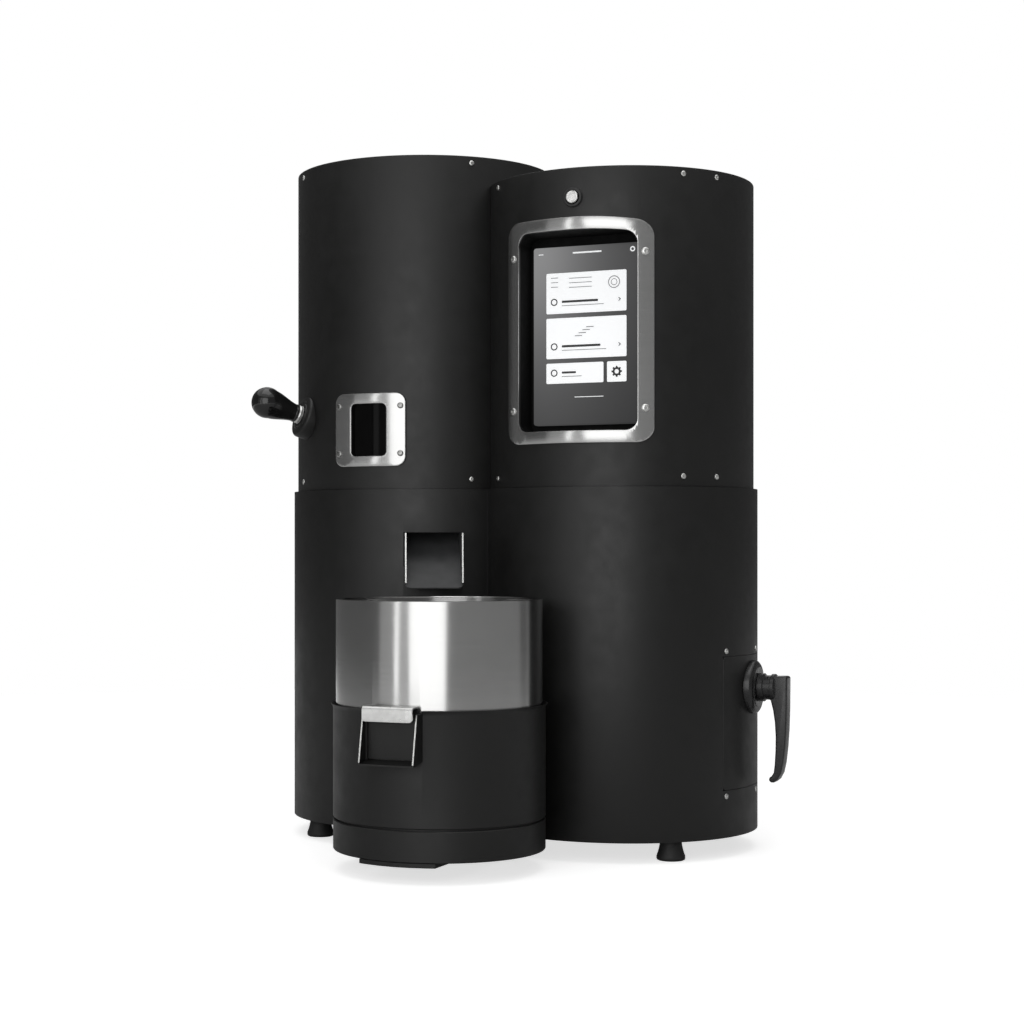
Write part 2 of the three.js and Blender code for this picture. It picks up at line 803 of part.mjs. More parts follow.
// Round duct of one wall along a smooth path.
function duct(points, radius) {
  const path = new THREE.CatmullRomCurve3(points.map((p) => new THREE.Vector3(...p)), false, 'centripetal');
  const section = circleShape(0, 0, radius, ductStep);
  section.holes.push(new THREE.Path(circlePoints(0, 0, radius - thinSheet, ductStep)));
  return new THREE.ExtrudeGeometry(section, { steps: ductRings, extrudePath: path, bevelEnabled: false });
}

function makeChaffDuct() {
  const start = Math.sqrt(chamberRadius ** 2 - ductY ** 2);
  const run = ductRadius - thinSheet - clearance;
  const inletX = towerSpacing + cycloneX - Math.sqrt((cycloneRadius - sheet) ** 2 - ductY ** 2) / 2;
  const points = [
    [start - run, ductY, ductCrossing],
    [start + ductBend / 2, ductY, ductCrossing],
    [ductX - ductBend / 2, ductY, ductCrossing - ductSag],
    [ductX, ductY, ductCrossing - ductBend],
    [ductX, ductY, seamHeight + ductBend],
    [ductX, ductY, deckLow - overrun],
    [ductX + ductLean, ductY, cycloneInletHeight + ductLift],
    [ductX + ductBend / 2, ductY, cycloneInletHeight],
    [inletX, ductY, cycloneInletHeight],
  ];
  place('chaff_duct', duct(points, ductRadius - thinSheet), finishes.galvanised(), machine);
}

const cycloneTop = deckLow - clearance;
const cycloneFlange = 70;
const cycloneConeTop = cycloneTop - 86.7;
const cycloneSpigotTop = 208;
const cycloneLow = 196;

function makeCyclone() {
  const lidLow = cycloneTop - sheet;
  const shell = turn([
    [suctionRadius - sheet, cycloneTop - suctionRadius * 2], [suctionRadius - sheet, cycloneTop],
    [cycloneFlange, cycloneTop], [cycloneFlange, lidLow], [cycloneRadius, lidLow],
    [cycloneRadius, cycloneConeTop], [cycloneOutletRadius, cycloneSpigotTop],
    [cycloneOutletRadius, cycloneLow], [cycloneOutletRadius - sheet, cycloneLow],
    [cycloneOutletRadius - sheet, cycloneSpigotTop],
    [cycloneRadius - sheet, cycloneConeTop], [cycloneRadius - sheet, lidLow],
    [suctionRadius, lidLow], [suctionRadius, cycloneTop - suctionRadius * 2],
  ], smallTurns);
  const inlet = bar(ductRadius + clearance, -cycloneRadius * 2, 0, innerTurns).rotateY(Math.PI / 2);
  const body = cut(shell, inlet.translate(0, ductY, cycloneInletHeight));
  place('cyclone', body, finishes.galvanised(), rightTower).position.x = cycloneX;
}

// Blower on the deck above the cyclone: a scroll, its wheel and motor.
const scrollSmall = 50;
const scrollGrowth = 15;
const scrollLow = upperLow;
const scrollHeight = 52;
const wheelRadius = 44;
const wheelLow = seamHeight + 10;
const wheelHeight = 32;
const wheelBlades = 6;
const blowerMotorRadius = 26;
const blowerMotorHeight = 46;
const blowerMotorShoulder = 36.8;
const blowerMotorTop = 20.8;
const wheelThroat = 28.6;
const vaneInner = 29.92;
const vaneOuter = 43.12;
const scrollSteps = 36;
const scrollOutletHalf = 18;

// Spiral outline whose radius grows once round, for the scroll's wall.
function scrollOutline(inset) {
  const points = [];
  for (let k = 0; k <= scrollSteps; k += 1) {
    const share = k / scrollSteps;
    const radius = scrollSmall + scrollGrowth * share - inset;
    const a = Math.PI / 2 - fullTurn * (1 - share);
    points.push(new THREE.Vector2(radius * Math.sin(a), -radius * Math.cos(a)));
  }
  return new THREE.Shape(points);
}

function makeBlower() {
  const high = scrollLow + scrollHeight;
  const hollow = raise(scrollOutline(sheet), scrollLow + sheet, high - sheet);
  const outletX = scrollSmall + scrollGrowth - scrollOutletHalf + sheet / 2;
  const middle = scrollLow + scrollHeight / 2;
  const outletEnd = scrollSmall + overrun * 2;
  const outletBox = box(
    outletX - scrollOutletHalf, 0, middle - scrollOutletHalf,
    outletX + scrollOutletHalf, outletEnd, middle + scrollOutletHalf,
  );
  const outletHollow = box(
    outletX - scrollOutletHalf + sheet, -overrun, middle - scrollOutletHalf + sheet,
    outletX + scrollOutletHalf - sheet, outletEnd + overrun, middle + scrollOutletHalf - sheet,
  );
  const housing = cut(
    join(raise(scrollOutline(0), scrollLow, high), outletBox),
    hollow,
    outletHollow,
    bar(suctionRadius, scrollLow - overrun, scrollLow + overrun),
    bar(shaftRadius, high - overrun, high + overrun),
  );
  const motor = turn([
    [0, high], [blowerMotorRadius, high], [blowerMotorRadius, high + blowerMotorShoulder],
    [blowerMotorTop, high + blowerMotorHeight], [0, high + blowerMotorHeight],
  ], smallTurns);
  const whole = join(housing, motor);
  place('blower_housing', whole, finishes.galvanised(), rightTower).position.x = cycloneX;

  const wheelHigh = wheelLow + wheelHeight;
  const wheelPlate = bar(wheelRadius, wheelHigh - sheet, wheelHigh, mediumTurns);
  const wheelRing = turn([
    [wheelThroat, wheelLow], [wheelRadius, wheelLow],
    [wheelRadius, wheelLow + sheet], [wheelThroat, wheelLow + sheet],
  ], mediumTurns);
  const spindle = bar(shaftRadius - clearance, wheelHigh - sheet, high - clearance / 2);
  const vanes = [];
  for (let k = 0; k < wheelBlades; k += 1) {
    const vane = box(-sheet / 2, vaneInner, wheelLow, sheet / 2, vaneOuter, wheelLow + wheelHeight);
    vanes.push(vane.rotateZ((k * fullTurn) / wheelBlades));
  }
  place('blower_wheel', join(wheelPlate, wheelRing, spindle, ...vanes), finishes.motorGrey(), rightTower)
    .position.x = cycloneX;
}

// Exhaust: a round duct from the blower up to the collar at the back.
const exhaustRadius = 16;

function makeExhaust() {
  const startX = towerSpacing + cycloneX + scrollSmall + scrollGrowth - scrollOutletHalf + sheet / 2;
  const startY = scrollSmall + overrun * 2 + clearance;
  const middle = scrollLow + scrollHeight / 2;
  const riseY = startY + exhaustRadius + overrun;
  const mouth = innerUpperRadius - collarRadius;
  const points = [
    [startX, startY, middle],
    [startX, startY + overrun, middle],
    [startX - sheet, riseY, middle + exhaustRadius * 2],
    [startX - sheet * 3, riseY, (middle + collarHeight) / 2],
    [startX - exhaustRadius * 2, riseY - exhaustRadius, collarHeight - exhaustRadius],
    [towerSpacing, mouth - overrun * 2, collarHeight],
    [towerSpacing, mouth + sheet, collarHeight],
  ];
  place('exhaust_duct', duct(points, exhaustRadius), finishes.galvanised(), machine);

  const throat = exhaustRadius + sheet;
  const end = towerRadius + collarOut;
  const wall = sheet;
  const collar = turn([
    [throat, mouth], [throat + wall, mouth], [collarRadius, mouth + collarFlare],
    [collarRadius, end], [collarRadius - wall, end], [collarRadius - wall, mouth + collarFlare + wall],
  ], mediumTurns);
  const flange = turn([
    [collarRadius - wall, towerRadius - overrun], [collarRadius + collarFlange, towerRadius - overrun],
    [collarRadius + collarFlange, towerRadius + collarFlangeThickness],
    [collarRadius - wall, towerRadius + collarFlangeThickness],
  ], mediumTurns);
  const saddleHalf = overrun + collarRadius * 2;
  const saddle = bar(towerRadius + clearance, -saddleHalf, saddleHalf, towerTurns);
  const seated = cut(layOut(flange).rotateZ(Math.PI), saddle);
  const whole = join(layOut(collar).rotateZ(Math.PI), seated);
  place('exhaust_collar', whole, finishes.galvanised(), rightTower).position.z = collarHeight;
}

// A curved plate on the front of a tower, with an outline seen from the front.
function frontPlate(shape, inner, thickness, low, high) {
  const ring = circleShape(0, 0, inner + thickness);
  ring.holes.push(new THREE.Path(circlePoints(0, 0, inner)));
  return common(raise(ring, low, high), push(shape, -inner - thickness - overrun, 0, 3));
}

function makeWindow() {
  const outline = roundedShape(-windowHalfWidth, windowLow, windowHalfWidth, windowHigh, windowCorner);
  outline.holes.push(roundedShape(-glassHalfWidth, glassLow, glassHalfWidth, glassHigh, glassCorner));
  const seat = towerRadius + clearance;
  const frame = frontPlate(outline, seat, frameThickness, windowLow - overrun, windowHigh + overrun);
  place('window_frame', frame, finishes.brushedSteel(), leftTower);

  const wide = glassHalfWidth + glassLap;
  const pane = roundedShape(-wide, glassLow - glassLap, wide, glassHigh + glassLap, glassCorner);
  const back = innerUpperRadius - clearance - glassThickness;
  const glass = frontPlate(pane, back, glassThickness, windowLow - overrun, windowHigh + overrun);
  place('window_glass', glass, finishes.darkGlass(), leftTower);
}

function makeDisplay() {
  const outline = roundedShape(-bezelHalfWidth, bezelLow, bezelHalfWidth, bezelHigh, bezelCorner);
  outline.holes.push(roundedShape(-openHalfWidth, openLow, openHalfWidth, openHigh, openCorner));
  const seat = towerRadius + clearance;
  const bezel = frontPlate(outline, seat, bezelThickness, bezelLow - overrun, bezelHigh + overrun);
  place('display_bezel', bezel, finishes.brushedSteel(), rightTower);

  // The tray behind the opening carries the tablet on its back wall.
  const backInner = -tabletFront + tabletThickness + clearance;
  const outer = roundedShape(
    -openHalfWidth - sheet, openLow - sheet, openHalfWidth + sheet, openHigh + sheet, openCorner + sheet,
  );
  const inside = roundedShape(-openHalfWidth, openLow, openHalfWidth, openHigh, openCorner);
  const limitShape = circleShape(0, 0, innerUpperRadius - clearance);
  const limit = raise(limitShape, openLow - overrun, openHigh + overrun);
  const tray = cut(
    common(push(outer, -towerRadius, backInner + sheet), limit),
    push(inside, -towerRadius - overrun, backInner),
  );
  const posts = [];
  for (const side of [-1, 1]) {
    for (const z of [openLow + openCorner * 3, openHigh - openCorner * 3]) {
      const x = side * (tabletHalfWidth - openCorner);
      const post = layOut(bar(postRadius, 0, overrun, innerTurns));
      posts.push(post.translate(x, backInner + sheet + overrun - clearance, z));
    }
  }
  place('display_housing', join(tray, ...posts), finishes.blackPlastic(), rightTower);

  const tablet = roundedShape(-tabletHalfWidth, tabletLow, tabletHalfWidth, tabletHigh, tabletCorner);
  const screen = push(tablet, -tabletFront, -tabletFront + tabletThickness, 3);
  place('touch_display', screen, finishes.screenGlass(), rightTower);

  makeBoard(backInner + sheet + overrun);
}

const boardThickness = 1.6;
const boardMargin = 6;

// Components on the board: place across and up, width and height as shares of it, depth in boards.
const componentShares = [
  { across: -0.5, up: 0.75, width: 0.3, height: 0.16, depth: 4 },
  { across: 0.45, up: 0.7, width: 0.5, height: 0.2, depth: 7 },
  { across: -0.1, up: 0.35, width: 0.6, height: 0.12, depth: 5 },
];

function makeBoard(front) {
  const low = openLow + boardMargin;
  const high = openHigh - boardMargin;
  const half = tabletHalfWidth - boardMargin / 2;
  const back = front + boardThickness;
  const board = box(-half, front, low, half, back, high);
  const chips = [];
  for (const component of componentShares) {
    const middleX = component.across * half;
    const middleZ = low + (high - low) * component.up;
    const halfWide = (component.width * half) / 2;
    const halfHigh = (component.height * half) / 2;
    chips.push(box(
      middleX - halfWide, back - boardThickness / 2, middleZ - halfHigh,
      middleX + halfWide, back + component.depth * boardThickness, middleZ + halfHigh,
    ));
  }
  place('control_board', join(board, ...chips), finishes.boardGreen(), rightTower);
}

const buttonProud = 5;
const buttonDepth = 14;
const buttonTravel = 2;

function makeButton() {
  const seat = towerRadius + clearance;
  const flangeOut = seat + sheet;
  const deep = towerRadius - buttonDepth;
  const collar = turn([
    [buttonRadius + clearance, deep], [buttonBarrel, deep], [buttonBarrel, seat], [buttonFlange, seat],
    [buttonFlange, flangeOut], [buttonRadius + clearance, flangeOut],
  ], smallTurns);
  place('button_collar', layOut(collar), finishes.brushedSteel(), rightTower).position.z = buttonHeight;
  const out = towerRadius + buttonProud;
  const cap = turn([
    [0, deep + buttonTravel], [buttonRadius, deep + buttonTravel], [buttonRadius, out - 1],
    [buttonRadius - 1, out], [0, out],
  ], smallTurns);
  place('power_button', layOut(cap), finishes.brushedSteel(), rightTower).position.z = buttonHeight;
}

// Trier: guide in the wall, ferrule, pear-shaped handle and half-round scoop.
const ferruleRadius = 9.5;
const ferruleLow = escutcheonOut + clearance;
const ferruleHigh = ferruleLow + 10;
const handleNeck = 9.5;
const handleBall = 16.2;
const handleLength = 44.5;
const scoopTip = -94;
const swellSteps = 5;
const ballStart = radians(-52);
const ballSteps = 8;

function makeTrier() {
  const tubeLow = -(towerRadius - chamberRadius) / Math.cos(trierTilt) - sheet;
  const tube = bar(trierTubeRadius, tubeLow, escutcheonOut);
  const plate = turn([
    [0, -overrun * 2], [escutcheonRadius, -overrun * 2], [escutcheonRadius, escutcheonOut - sheet],
    [escutcheonRadius - sheet, escutcheonOut], [0, escutcheonOut],
  ], mediumTurns);
  const wallLow = trierHeight - towerRadius / 2;
  const wallHigh = trierHeight + towerRadius / 2;
  const wallSpace = bar(towerRadius + clearance, wallLow, wallHigh, towerTurns).rotateZ(-trierAngle);
  const seated = cut(alongTrier(plate), wallSpace);
  const bore = alongTrier(bar(trierBore, tubeLow - overrun, escutcheonOut + overrun));
  const guide = cut(join(seated, alongTrier(tube)), bore);
  place('trier_guide', guide, finishes.powderCoat(), leftTower, trierAngle);

  const ferrule = turn([
    [trierBore, ferruleLow], [ferruleRadius, ferruleLow], [ferruleRadius, ferruleHigh - sheet],
    [ferruleRadius - sheet / 2, ferruleHigh], [trierBore, ferruleHigh],
  ], smallTurns);
  place('trier_ferrule', alongTrier(ferrule), finishes.brushedSteel(), leftTower, trierAngle);

  // The handle's outline swells from its neck to a ball end.
  const low = ferruleHigh + clearance;
  const ballMiddle = low + handleLength - handleBall;
  const profile = [[0, low], [handleNeck, low]];
  const swellEnd = handleBall * Math.cos(ballStart);
  const swellHeight = ballMiddle + handleBall * Math.sin(ballStart) - low;
  for (let k = 1; k < swellSteps; k += 1) {
    const share = k / swellSteps;
    const ease = THREE.MathUtils.smoothstep(share, 0, 1);
    profile.push([handleNeck + (swellEnd - handleNeck) * ease, low + swellHeight * share]);
  }
  for (let k = 0; k < ballSteps; k += 1) {
    const a = ballStart + ((Math.PI / 2 - ballStart) * k) / ballSteps;
    profile.push([handleBall * Math.cos(a), ballMiddle + handleBall * Math.sin(a)]);
  }
  profile.push([0, ballMiddle + handleBall]);
  const handle = alongTrier(turn(profile, smallTurns));
  place('trier_handle', handle, finishes.blackPlastic(), leftTower, trierAngle);

  const shankLow = -overrun * 3;
  const cutHalf = trierShank + overrun;
  const trough = cut(
    bar(trierShank, scoopTip, low - clearance),
    bar(trierShank - thinSheet, scoopTip + thinSheet, shankLow),
    box(-cutHalf, 0, scoopTip + thinSheet, cutHalf, cutHalf, shankLow),
  );
  place('trier_scoop', alongTrier(surface(trough)), finishes.innerSteel(), leftTower, trierAngle);
}

// Chaff drawer on its shelf, with the door that closes the side opening.
const binHalfWidth = 54;
const binInnerX = -5;
const binFloor = 70.3;
const binHigh = 190;
const binPocketX = 120;
const shelfLow = 66.5;
const shelfHalfWidth = 57.5;
const guideHeight = 8;
const shelfOut = 122;
const shelfLegY = 48;
const shelfFlange = 12;

function makeDrawer() {
  const arcAngle = Math.asin(binHalfWidth / (innerLowerRadius - clearance));
  const front = arcPoints(0, 0, innerLowerRadius - clearance, doorAngle - arcAngle, doorAngle + arcAngle);
  const outline = [
    ...front,
    new THREE.Vector2(binInnerX, binHalfWidth),
    new THREE.Vector2(binInnerX, -binHalfWidth),
  ];
  const inset = binHalfWidth - sheet;
  const drawer = cut(
    raise(new THREE.Shape(outline), binFloor, binHigh),
    box(binInnerX + sheet, -inset, binFloor + sheet, binPocketX - sheet, inset, binHigh + overrun),
    box(binPocketX, -inset, binFloor - overrun, lowerRadius, inset, binHigh + overrun),
  );
  place('chaff_bin', drawer, finishes.galvanised(), rightTower);

  const doorGap = clearance / lowerRadius;
  const panelHalf = doorHalfAngle - doorGap;
  const panelLow = doorLow + clearance;
  const shaftBore = bar(latchShaftRadius + clearance, 0, lowerRadius * 2).rotateY(Math.PI / 2);
  const door = cut(
    doorSector(innerLowerRadius, lowerRadius, panelHalf, panelLow, doorHigh - clearance),
    shaftBore.translate(0, 0, latchHeight),
  );
  place('chaff_door', door, finishes.powderCoat(), rightTower);

  const shelfTop = binFloor - clearance;
  const section = [
    [-shelfHalfWidth, shelfTop + guideHeight], [-shelfHalfWidth + sheet, shelfTop + guideHeight],
    [-shelfHalfWidth + sheet, shelfTop], [shelfHalfWidth - sheet, shelfTop],
    [shelfHalfWidth - sheet, shelfTop + guideHeight], [shelfHalfWidth, shelfTop + guideHeight],
    [shelfHalfWidth, shelfLow], [shelfLegY, shelfLow],
    [shelfLegY, baseTop + clearance + sheet], [shelfLegY + shelfFlange, baseTop + clearance + sheet],
    [shelfLegY + shelfFlange, baseTop + clearance], [shelfLegY - sheet, baseTop + clearance],
    [shelfLegY - sheet, shelfLow], [-shelfLegY + sheet, shelfLow],
    [-shelfLegY + sheet, baseTop + clearance], [-shelfLegY - shelfFlange, baseTop + clearance],
    [-shelfLegY - shelfFlange, baseTop + clearance + sheet], [-shelfLegY, baseTop + clearance + sheet],
    [-shelfLegY, shelfLow], [-shelfHalfWidth, shelfLow],
  ];
  const shape = new THREE.Shape(section.map((p) => new THREE.Vector2(...p)));
  const shelf = raise(shape, binInnerX, shelfOut).rotateX(Math.PI / 2).rotateZ(Math.PI / 2);
  place('drawer_shelf', shelf, finishes.galvanised(), rightTower);
}

// Latch: an escutcheon on the door, an L-shaped lever outside and a pawl inside.
const escutcheonSize = 26.5;
const escutcheonHigh = 7;
const latchBoss = 14;
const leverReach = 37;
const leverLength = 94;
const leverHalfWidth = 8.5;
const leverTop = 12;
const leverRoot = 22;
const leverNeck = 14;
const leverTipIn = 15;
const leverCorner = 3;
const leverSteps = 4;
const escutcheonEdge = 4;
const pawlLength = 34;
const pawlTipHalf = 4.2;
const pawlHeadHalf = 9;
const pawlThickness = 3;

// Points that steer the lever's outline: in from its outer face, and down from its shaft.
const leverBulge = [[0, 32.9], [2, 65.8], [5, 82.72]];
const leverToe = [[7, 91.18], [leverTipIn, leverLength]];
const leverHook = [[19.5, 92.12], [18, 88.36]];
const leverInside = [[11.2, 84.6], [10.92, 73.32]];
const leverBack = [[9.8, 47], [11.2, 28.2]];

function makeLatch() {
  const seat = lowerRadius + clearance;
  const face = lowerRadius + escutcheonHigh;
  const toSide = (form) => layOut(form).rotateZ(doorAngle);
  const boreRadius = latchShaftRadius + clearance;
  const disc = turn([
    [boreRadius, lowerRadius - overrun], [escutcheonSize, lowerRadius - overrun],
    [escutcheonSize, face - escutcheonEdge], [escutcheonSize - escutcheonEdge, face],
    [boreRadius, face],
  ], mediumTurns);
  const wall = bar(seat, -escutcheonSize - overrun, escutcheonSize + overrun, towerTurns);
  place('latch_escutcheon', cut(toSide(disc), wall), finishes.blackPlastic(), rightTower)
    .position.z = latchHeight;

  const bossLow = face + clearance;
  const out = lowerRadius + leverReach;
  const rootIn = out - leverRoot;
  const boss = toSide(bar(latchBoss, bossLow, rootIn + sheet, smallTurns));
  const shaft = toSide(bar(latchShaftRadius, binPocketX + overrun, out - leverNeck, smallTurns));
  const steer = (points) => points.flatMap(([inFrom, down]) => [out - inFrom, -down]);
  const lever = new THREE.Shape();
  lever.moveTo(rootIn, leverTop);
  lever.lineTo(out - leverCorner, leverTop);
  lever.quadraticCurveTo(out, leverTop, out, leverTop - leverCorner);
  lever.bezierCurveTo(...steer(leverBulge));
  lever.quadraticCurveTo(...steer(leverToe));
  lever.quadraticCurveTo(...steer(leverHook));
  lever.quadraticCurveTo(...steer(leverInside));
  lever.bezierCurveTo(...steer(leverBack), rootIn, -leverTop);
  const blade = push(lever, -leverHalfWidth, leverHalfWidth, leverSteps);
  place('latch_handle', join(boss, shaft, blade), finishes.blackPlastic(), rightTower)
    .position.z = latchHeight;

  const pawlLow = binPocketX + overrun - pawlThickness - clearance;
  const tip = new THREE.Shape([
    new THREE.Vector2(-pawlHeadHalf, pawlHeadHalf),
    new THREE.Vector2(-pawlHeadHalf, -latchShaftRadius),
    new THREE.Vector2(-pawlTipHalf, -pawlLength),
    new THREE.Vector2(pawlTipHalf, -pawlLength),
    new THREE.Vector2(pawlHeadHalf, -latchShaftRadius),
    new THREE.Vector2(pawlHeadHalf, pawlHeadHalf),
  ]);
  const pawl = push(tip, 0, pawlThickness).rotateZ(Math.PI / 2).translate(pawlLow + pawlThickness, 0, 0);
  place('latch_pawl', pawl, finishes.galvanised(), rightTower).position.z = latchHeight;
}

// Power supply on the base plate; inlet and mains switch on a flat plate at the back.
const supplyHalfWidth = 42;
const supplyHalfDepth = 50;
const supplyHeight = 44;
const supplyY = 20;
const inletHalfWidth = 14;
const inletHalfHeight = 16;
const inletX = -20;
const inletHeight = 92;
const rockerHalfWidth = 10;
const rockerHalfHeight = 14;
const rockerX = 20;
const rockerProud = 4;
const inletProud = 3;
const inletDepth = 25.6;
const inletBladeHalf = 1;
const inletBladePitch = 8;
const inletBladeHigh = 4;
const supplySlots = [-2, -1, 0, 1, 2];

function makeElectrics() {
  const low = baseTop + clearance;
  const can = box(
    -supplyHalfWidth, supplyY - supplyHalfDepth, low,
    supplyHalfWidth, supplyY + supplyHalfDepth, low + supplyHeight,
  );
  const slots = [];
  for (const k of supplySlots) {
    const y = supplyY + k * slotWidth * 2;
    slots.push(box(
      -supplyHalfWidth / 2, y, low + supplyHeight - sheet,
      supplyHalfWidth / 2, y + slotWidth, low + supplyHeight + overrun,
    ));
  }
  place('power_supply', cut(can, ...slots), finishes.galvanised(), leftTower);

  const flatRadius = innerLowerRadius * Math.cos(facetAngle / 2);
  const back = Math.sqrt(flatRadius ** 2 - serviceHalfWidth ** 2) - clearance;
  const front = back - sheet;
  const plate = boxShape(-serviceHalfWidth, serviceLow, serviceHalfWidth, serviceHigh);
  const inletHole = boxShape(
    inletX - inletHalfWidth - clearance, inletHeight - inletHalfHeight - clearance,
    inletX + inletHalfWidth + clearance, inletHeight + inletHalfHeight + clearance,
  );
  const rockerHole = boxShape(
    rockerX - rockerHalfWidth - clearance, inletHeight - rockerHalfHeight - clearance,
    rockerX + rockerHalfWidth + clearance, inletHeight + rockerHalfHeight + clearance,
  );
  plate.holes.push(inletHole, rockerHole);
  place('service_plate', push(plate, front, back), finishes.powderCoat(), leftTower);

  const inletShape = (grow) => boxShape(
    inletX - inletHalfWidth - grow, inletHeight - inletHalfHeight - grow,
    inletX + inletHalfWidth + grow, inletHeight + inletHalfHeight + grow,
  );
  const shell = join(
    push(inletShape(0), front - inletDepth, back + sheet),
    push(inletShape(inletProud), back + clearance, back + sheet),
  );
  const mouth = roundedShape(
    inletX - inletHalfWidth + sheet, inletHeight - inletHalfHeight + sheet,
    inletX + inletHalfWidth - sheet, inletHeight + inletHalfHeight - sheet, sheet * 2,
  );
  const socket = push(mouth, front - inletDepth + overrun, back + overrun);
  const blades = [-1, 0, 1].map((k) => {
    const bladeX = inletX + k * inletBladePitch;
    const blade = boxShape(
      bladeX - inletBladeHalf, inletHeight - inletBladeHigh,
      bladeX + inletBladeHalf, inletHeight + inletBladeHigh,
    );
    return push(blade, front - inletDepth + sheet, back - overrun);
  });
  place('power_inlet', join(cut(shell, socket), ...blades), finishes.blackPlastic(), leftTower);

  const rocker = new THREE.Shape([
    new THREE.Vector2(front - overrun, -rockerHalfHeight + sheet),
    new THREE.Vector2(back + rockerProud, -rockerHalfHeight + sheet),
    new THREE.Vector2(back + sheet / 2, 0),
    new THREE.Vector2(back + sheet, rockerHalfHeight - sheet),
    new THREE.Vector2(front - overrun, rockerHalfHeight - sheet),
  ]);
  const key = sideways(rocker, -rockerHalfWidth, rockerHalfWidth).rotateZ(Math.PI);
  place('power_switch', key, finishes.blackPlastic(), leftTower).position.set(rockerX, 0, inletHeight);
}

// Cooling bin: base pan, bucket, steel pot with its perforated floor, spout and sliding gate.
const shelfThickness = 4;
const shelfWidth = 76;
const panTop = 48.5;
const groove = 1.5;
const bucketTop = 157;
const potRadius = binRadius - 2.5;
const potTop = chuteLipHeight - 6.5;
const potFloor = 104;
const sieveThickness = 1.2;
const portHalfWidth = 24;
const portLow = 110;
const portHigh = 147;
const sieveRows = [30, 56, 82];
const sieveHoleRadius = 5;
const bucketHole = 70;
const panSlotCount = 3;
const sievePitch = 56;

function makeBinShelf() {
  const high = footHeight - clearance;
  const low = high - shelfThickness;
  const half = shelfWidth / 2;
  const tongueAngle = Math.asin(half / binRadius);
  const nose = arcPoints(binX, binY, binRadius, -tongueAngle, tongueAngle);
  const root = -towerRadius / 3;
  const outline = [...nose, new THREE.Vector2(binX + half, root), new THREE.Vector2(binX - half, root)];
  place('bin_shelf', raise(new THREE.Shape(outline), low, high), finishes.powderCoat(), machine);
}

function makeBin() {
  const wall = sheet;
  const low = footHeight;
  const pan = turn([
    [0, low], [binRadius, low], [binRadius, panTop],
    [binRadius - groove, panTop], [binRadius - groove, panTop + groove],
    [binRadius - groove - wall, panTop + groove], [binRadius - groove - wall, low + wall],
    [0, low + wall],
  ], binTurns);
  const panSlots = [];
  for (let k = -panSlotCount; k <= panSlotCount; k += 1) {
    const slot = box(
      -slotWidth / 2, 0, low + overrun,
      slotWidth / 2, binRadius + overrun, panTop - overrun,
    );
    panSlots.push(slot.rotateZ(((k + 1 / 2) * fullTurn) / binTurns));
  }
  place('bin_base', cut(pan, ...panSlots), finishes.powderCoat(), coolingBin);

  const bucketLow = panTop + groove + clearance;
  const inner = binRadius - wall;
  const lipLow = bucketTop - overrun;
  const bucket = turn([
    [bucketHole, bucketLow], [binRadius, bucketLow], [binRadius, bucketTop - wall * 2],
    [binRadius + binLip, bucketTop], [binRadius + binLip - wall, bucketTop], [inner, bucketTop - wall * 2],
    [inner, bucketLow + wall], [bucketHole, bucketLow + wall],
  ], binTurns);
  const port = box(-portHalfWidth, -binRadius * 2, portLow, portHalfWidth, -binRadius / 2, portHigh);
  const notchHalf = portHalfWidth + wall * 2;
  const lipSpace = turn([
    [binRadius, lipLow], [binRadius * 2, lipLow],
    [binRadius * 2, bucketTop + overrun], [binRadius, bucketTop + overrun],
  ], binTurns);
  const notch = box(
    -notchHalf, -binRadius * 2, lipLow,
    notchHalf, -binRadius / 2, bucketTop + overrun,
  );
  place('bin_bucket', cut(bucket, port, common(lipSpace, notch)), finishes.powderCoat(), coolingBin);

  const potInner = potRadius - thinSheet;
  const ledge = potInner - overrun;
  const bead = thinSheet;
  const pot = turn([
    [ledge, potFloor - thinSheet], [potRadius, potFloor - thinSheet], [potRadius, potTop],
    [potInner - bead, potTop], [potInner - bead, potTop - bead], [potInner, potTop - bead],
    [potInner, potFloor], [ledge, potFloor],
  ], binTurns);
  place('cooling_pot', cut(pot, port.clone()), finishes.brushedSteel(), coolingBin);

  const sieve = circleShape(0, 0, potInner - clearance, fullTurn / binTurns);
  for (const row of sieveRows) {
    const count = Math.round((fullTurn * row) / sievePitch);
    for (let k = 0; k < count; k += 1) {
      const a = (k * fullTurn) / count;
      const x = row * Math.sin(a);
      const y = -row * Math.cos(a);
      sieve.holes.push(new THREE.Path(circlePoints(x, y, sieveHoleRadius, holeStep)));
    }
  }
  const sieveLow = potFloor + clearance;
  place('bin_sieve', raise(sieve, sieveLow, sieveLow + sieveThickness), finishes.innerSteel(), coolingBin);
}

const spoutTopOut = 8;
const spoutBottomOut = 16;
const spoutLow = 109;
const spoutHigh = 154.5;
const gateGap = 0.6;
const gripHalfWidth = 25.2;
const gripLow = 147;
const gripHigh = 161;
const gripDepth = 13;
const gripCorner = 3;

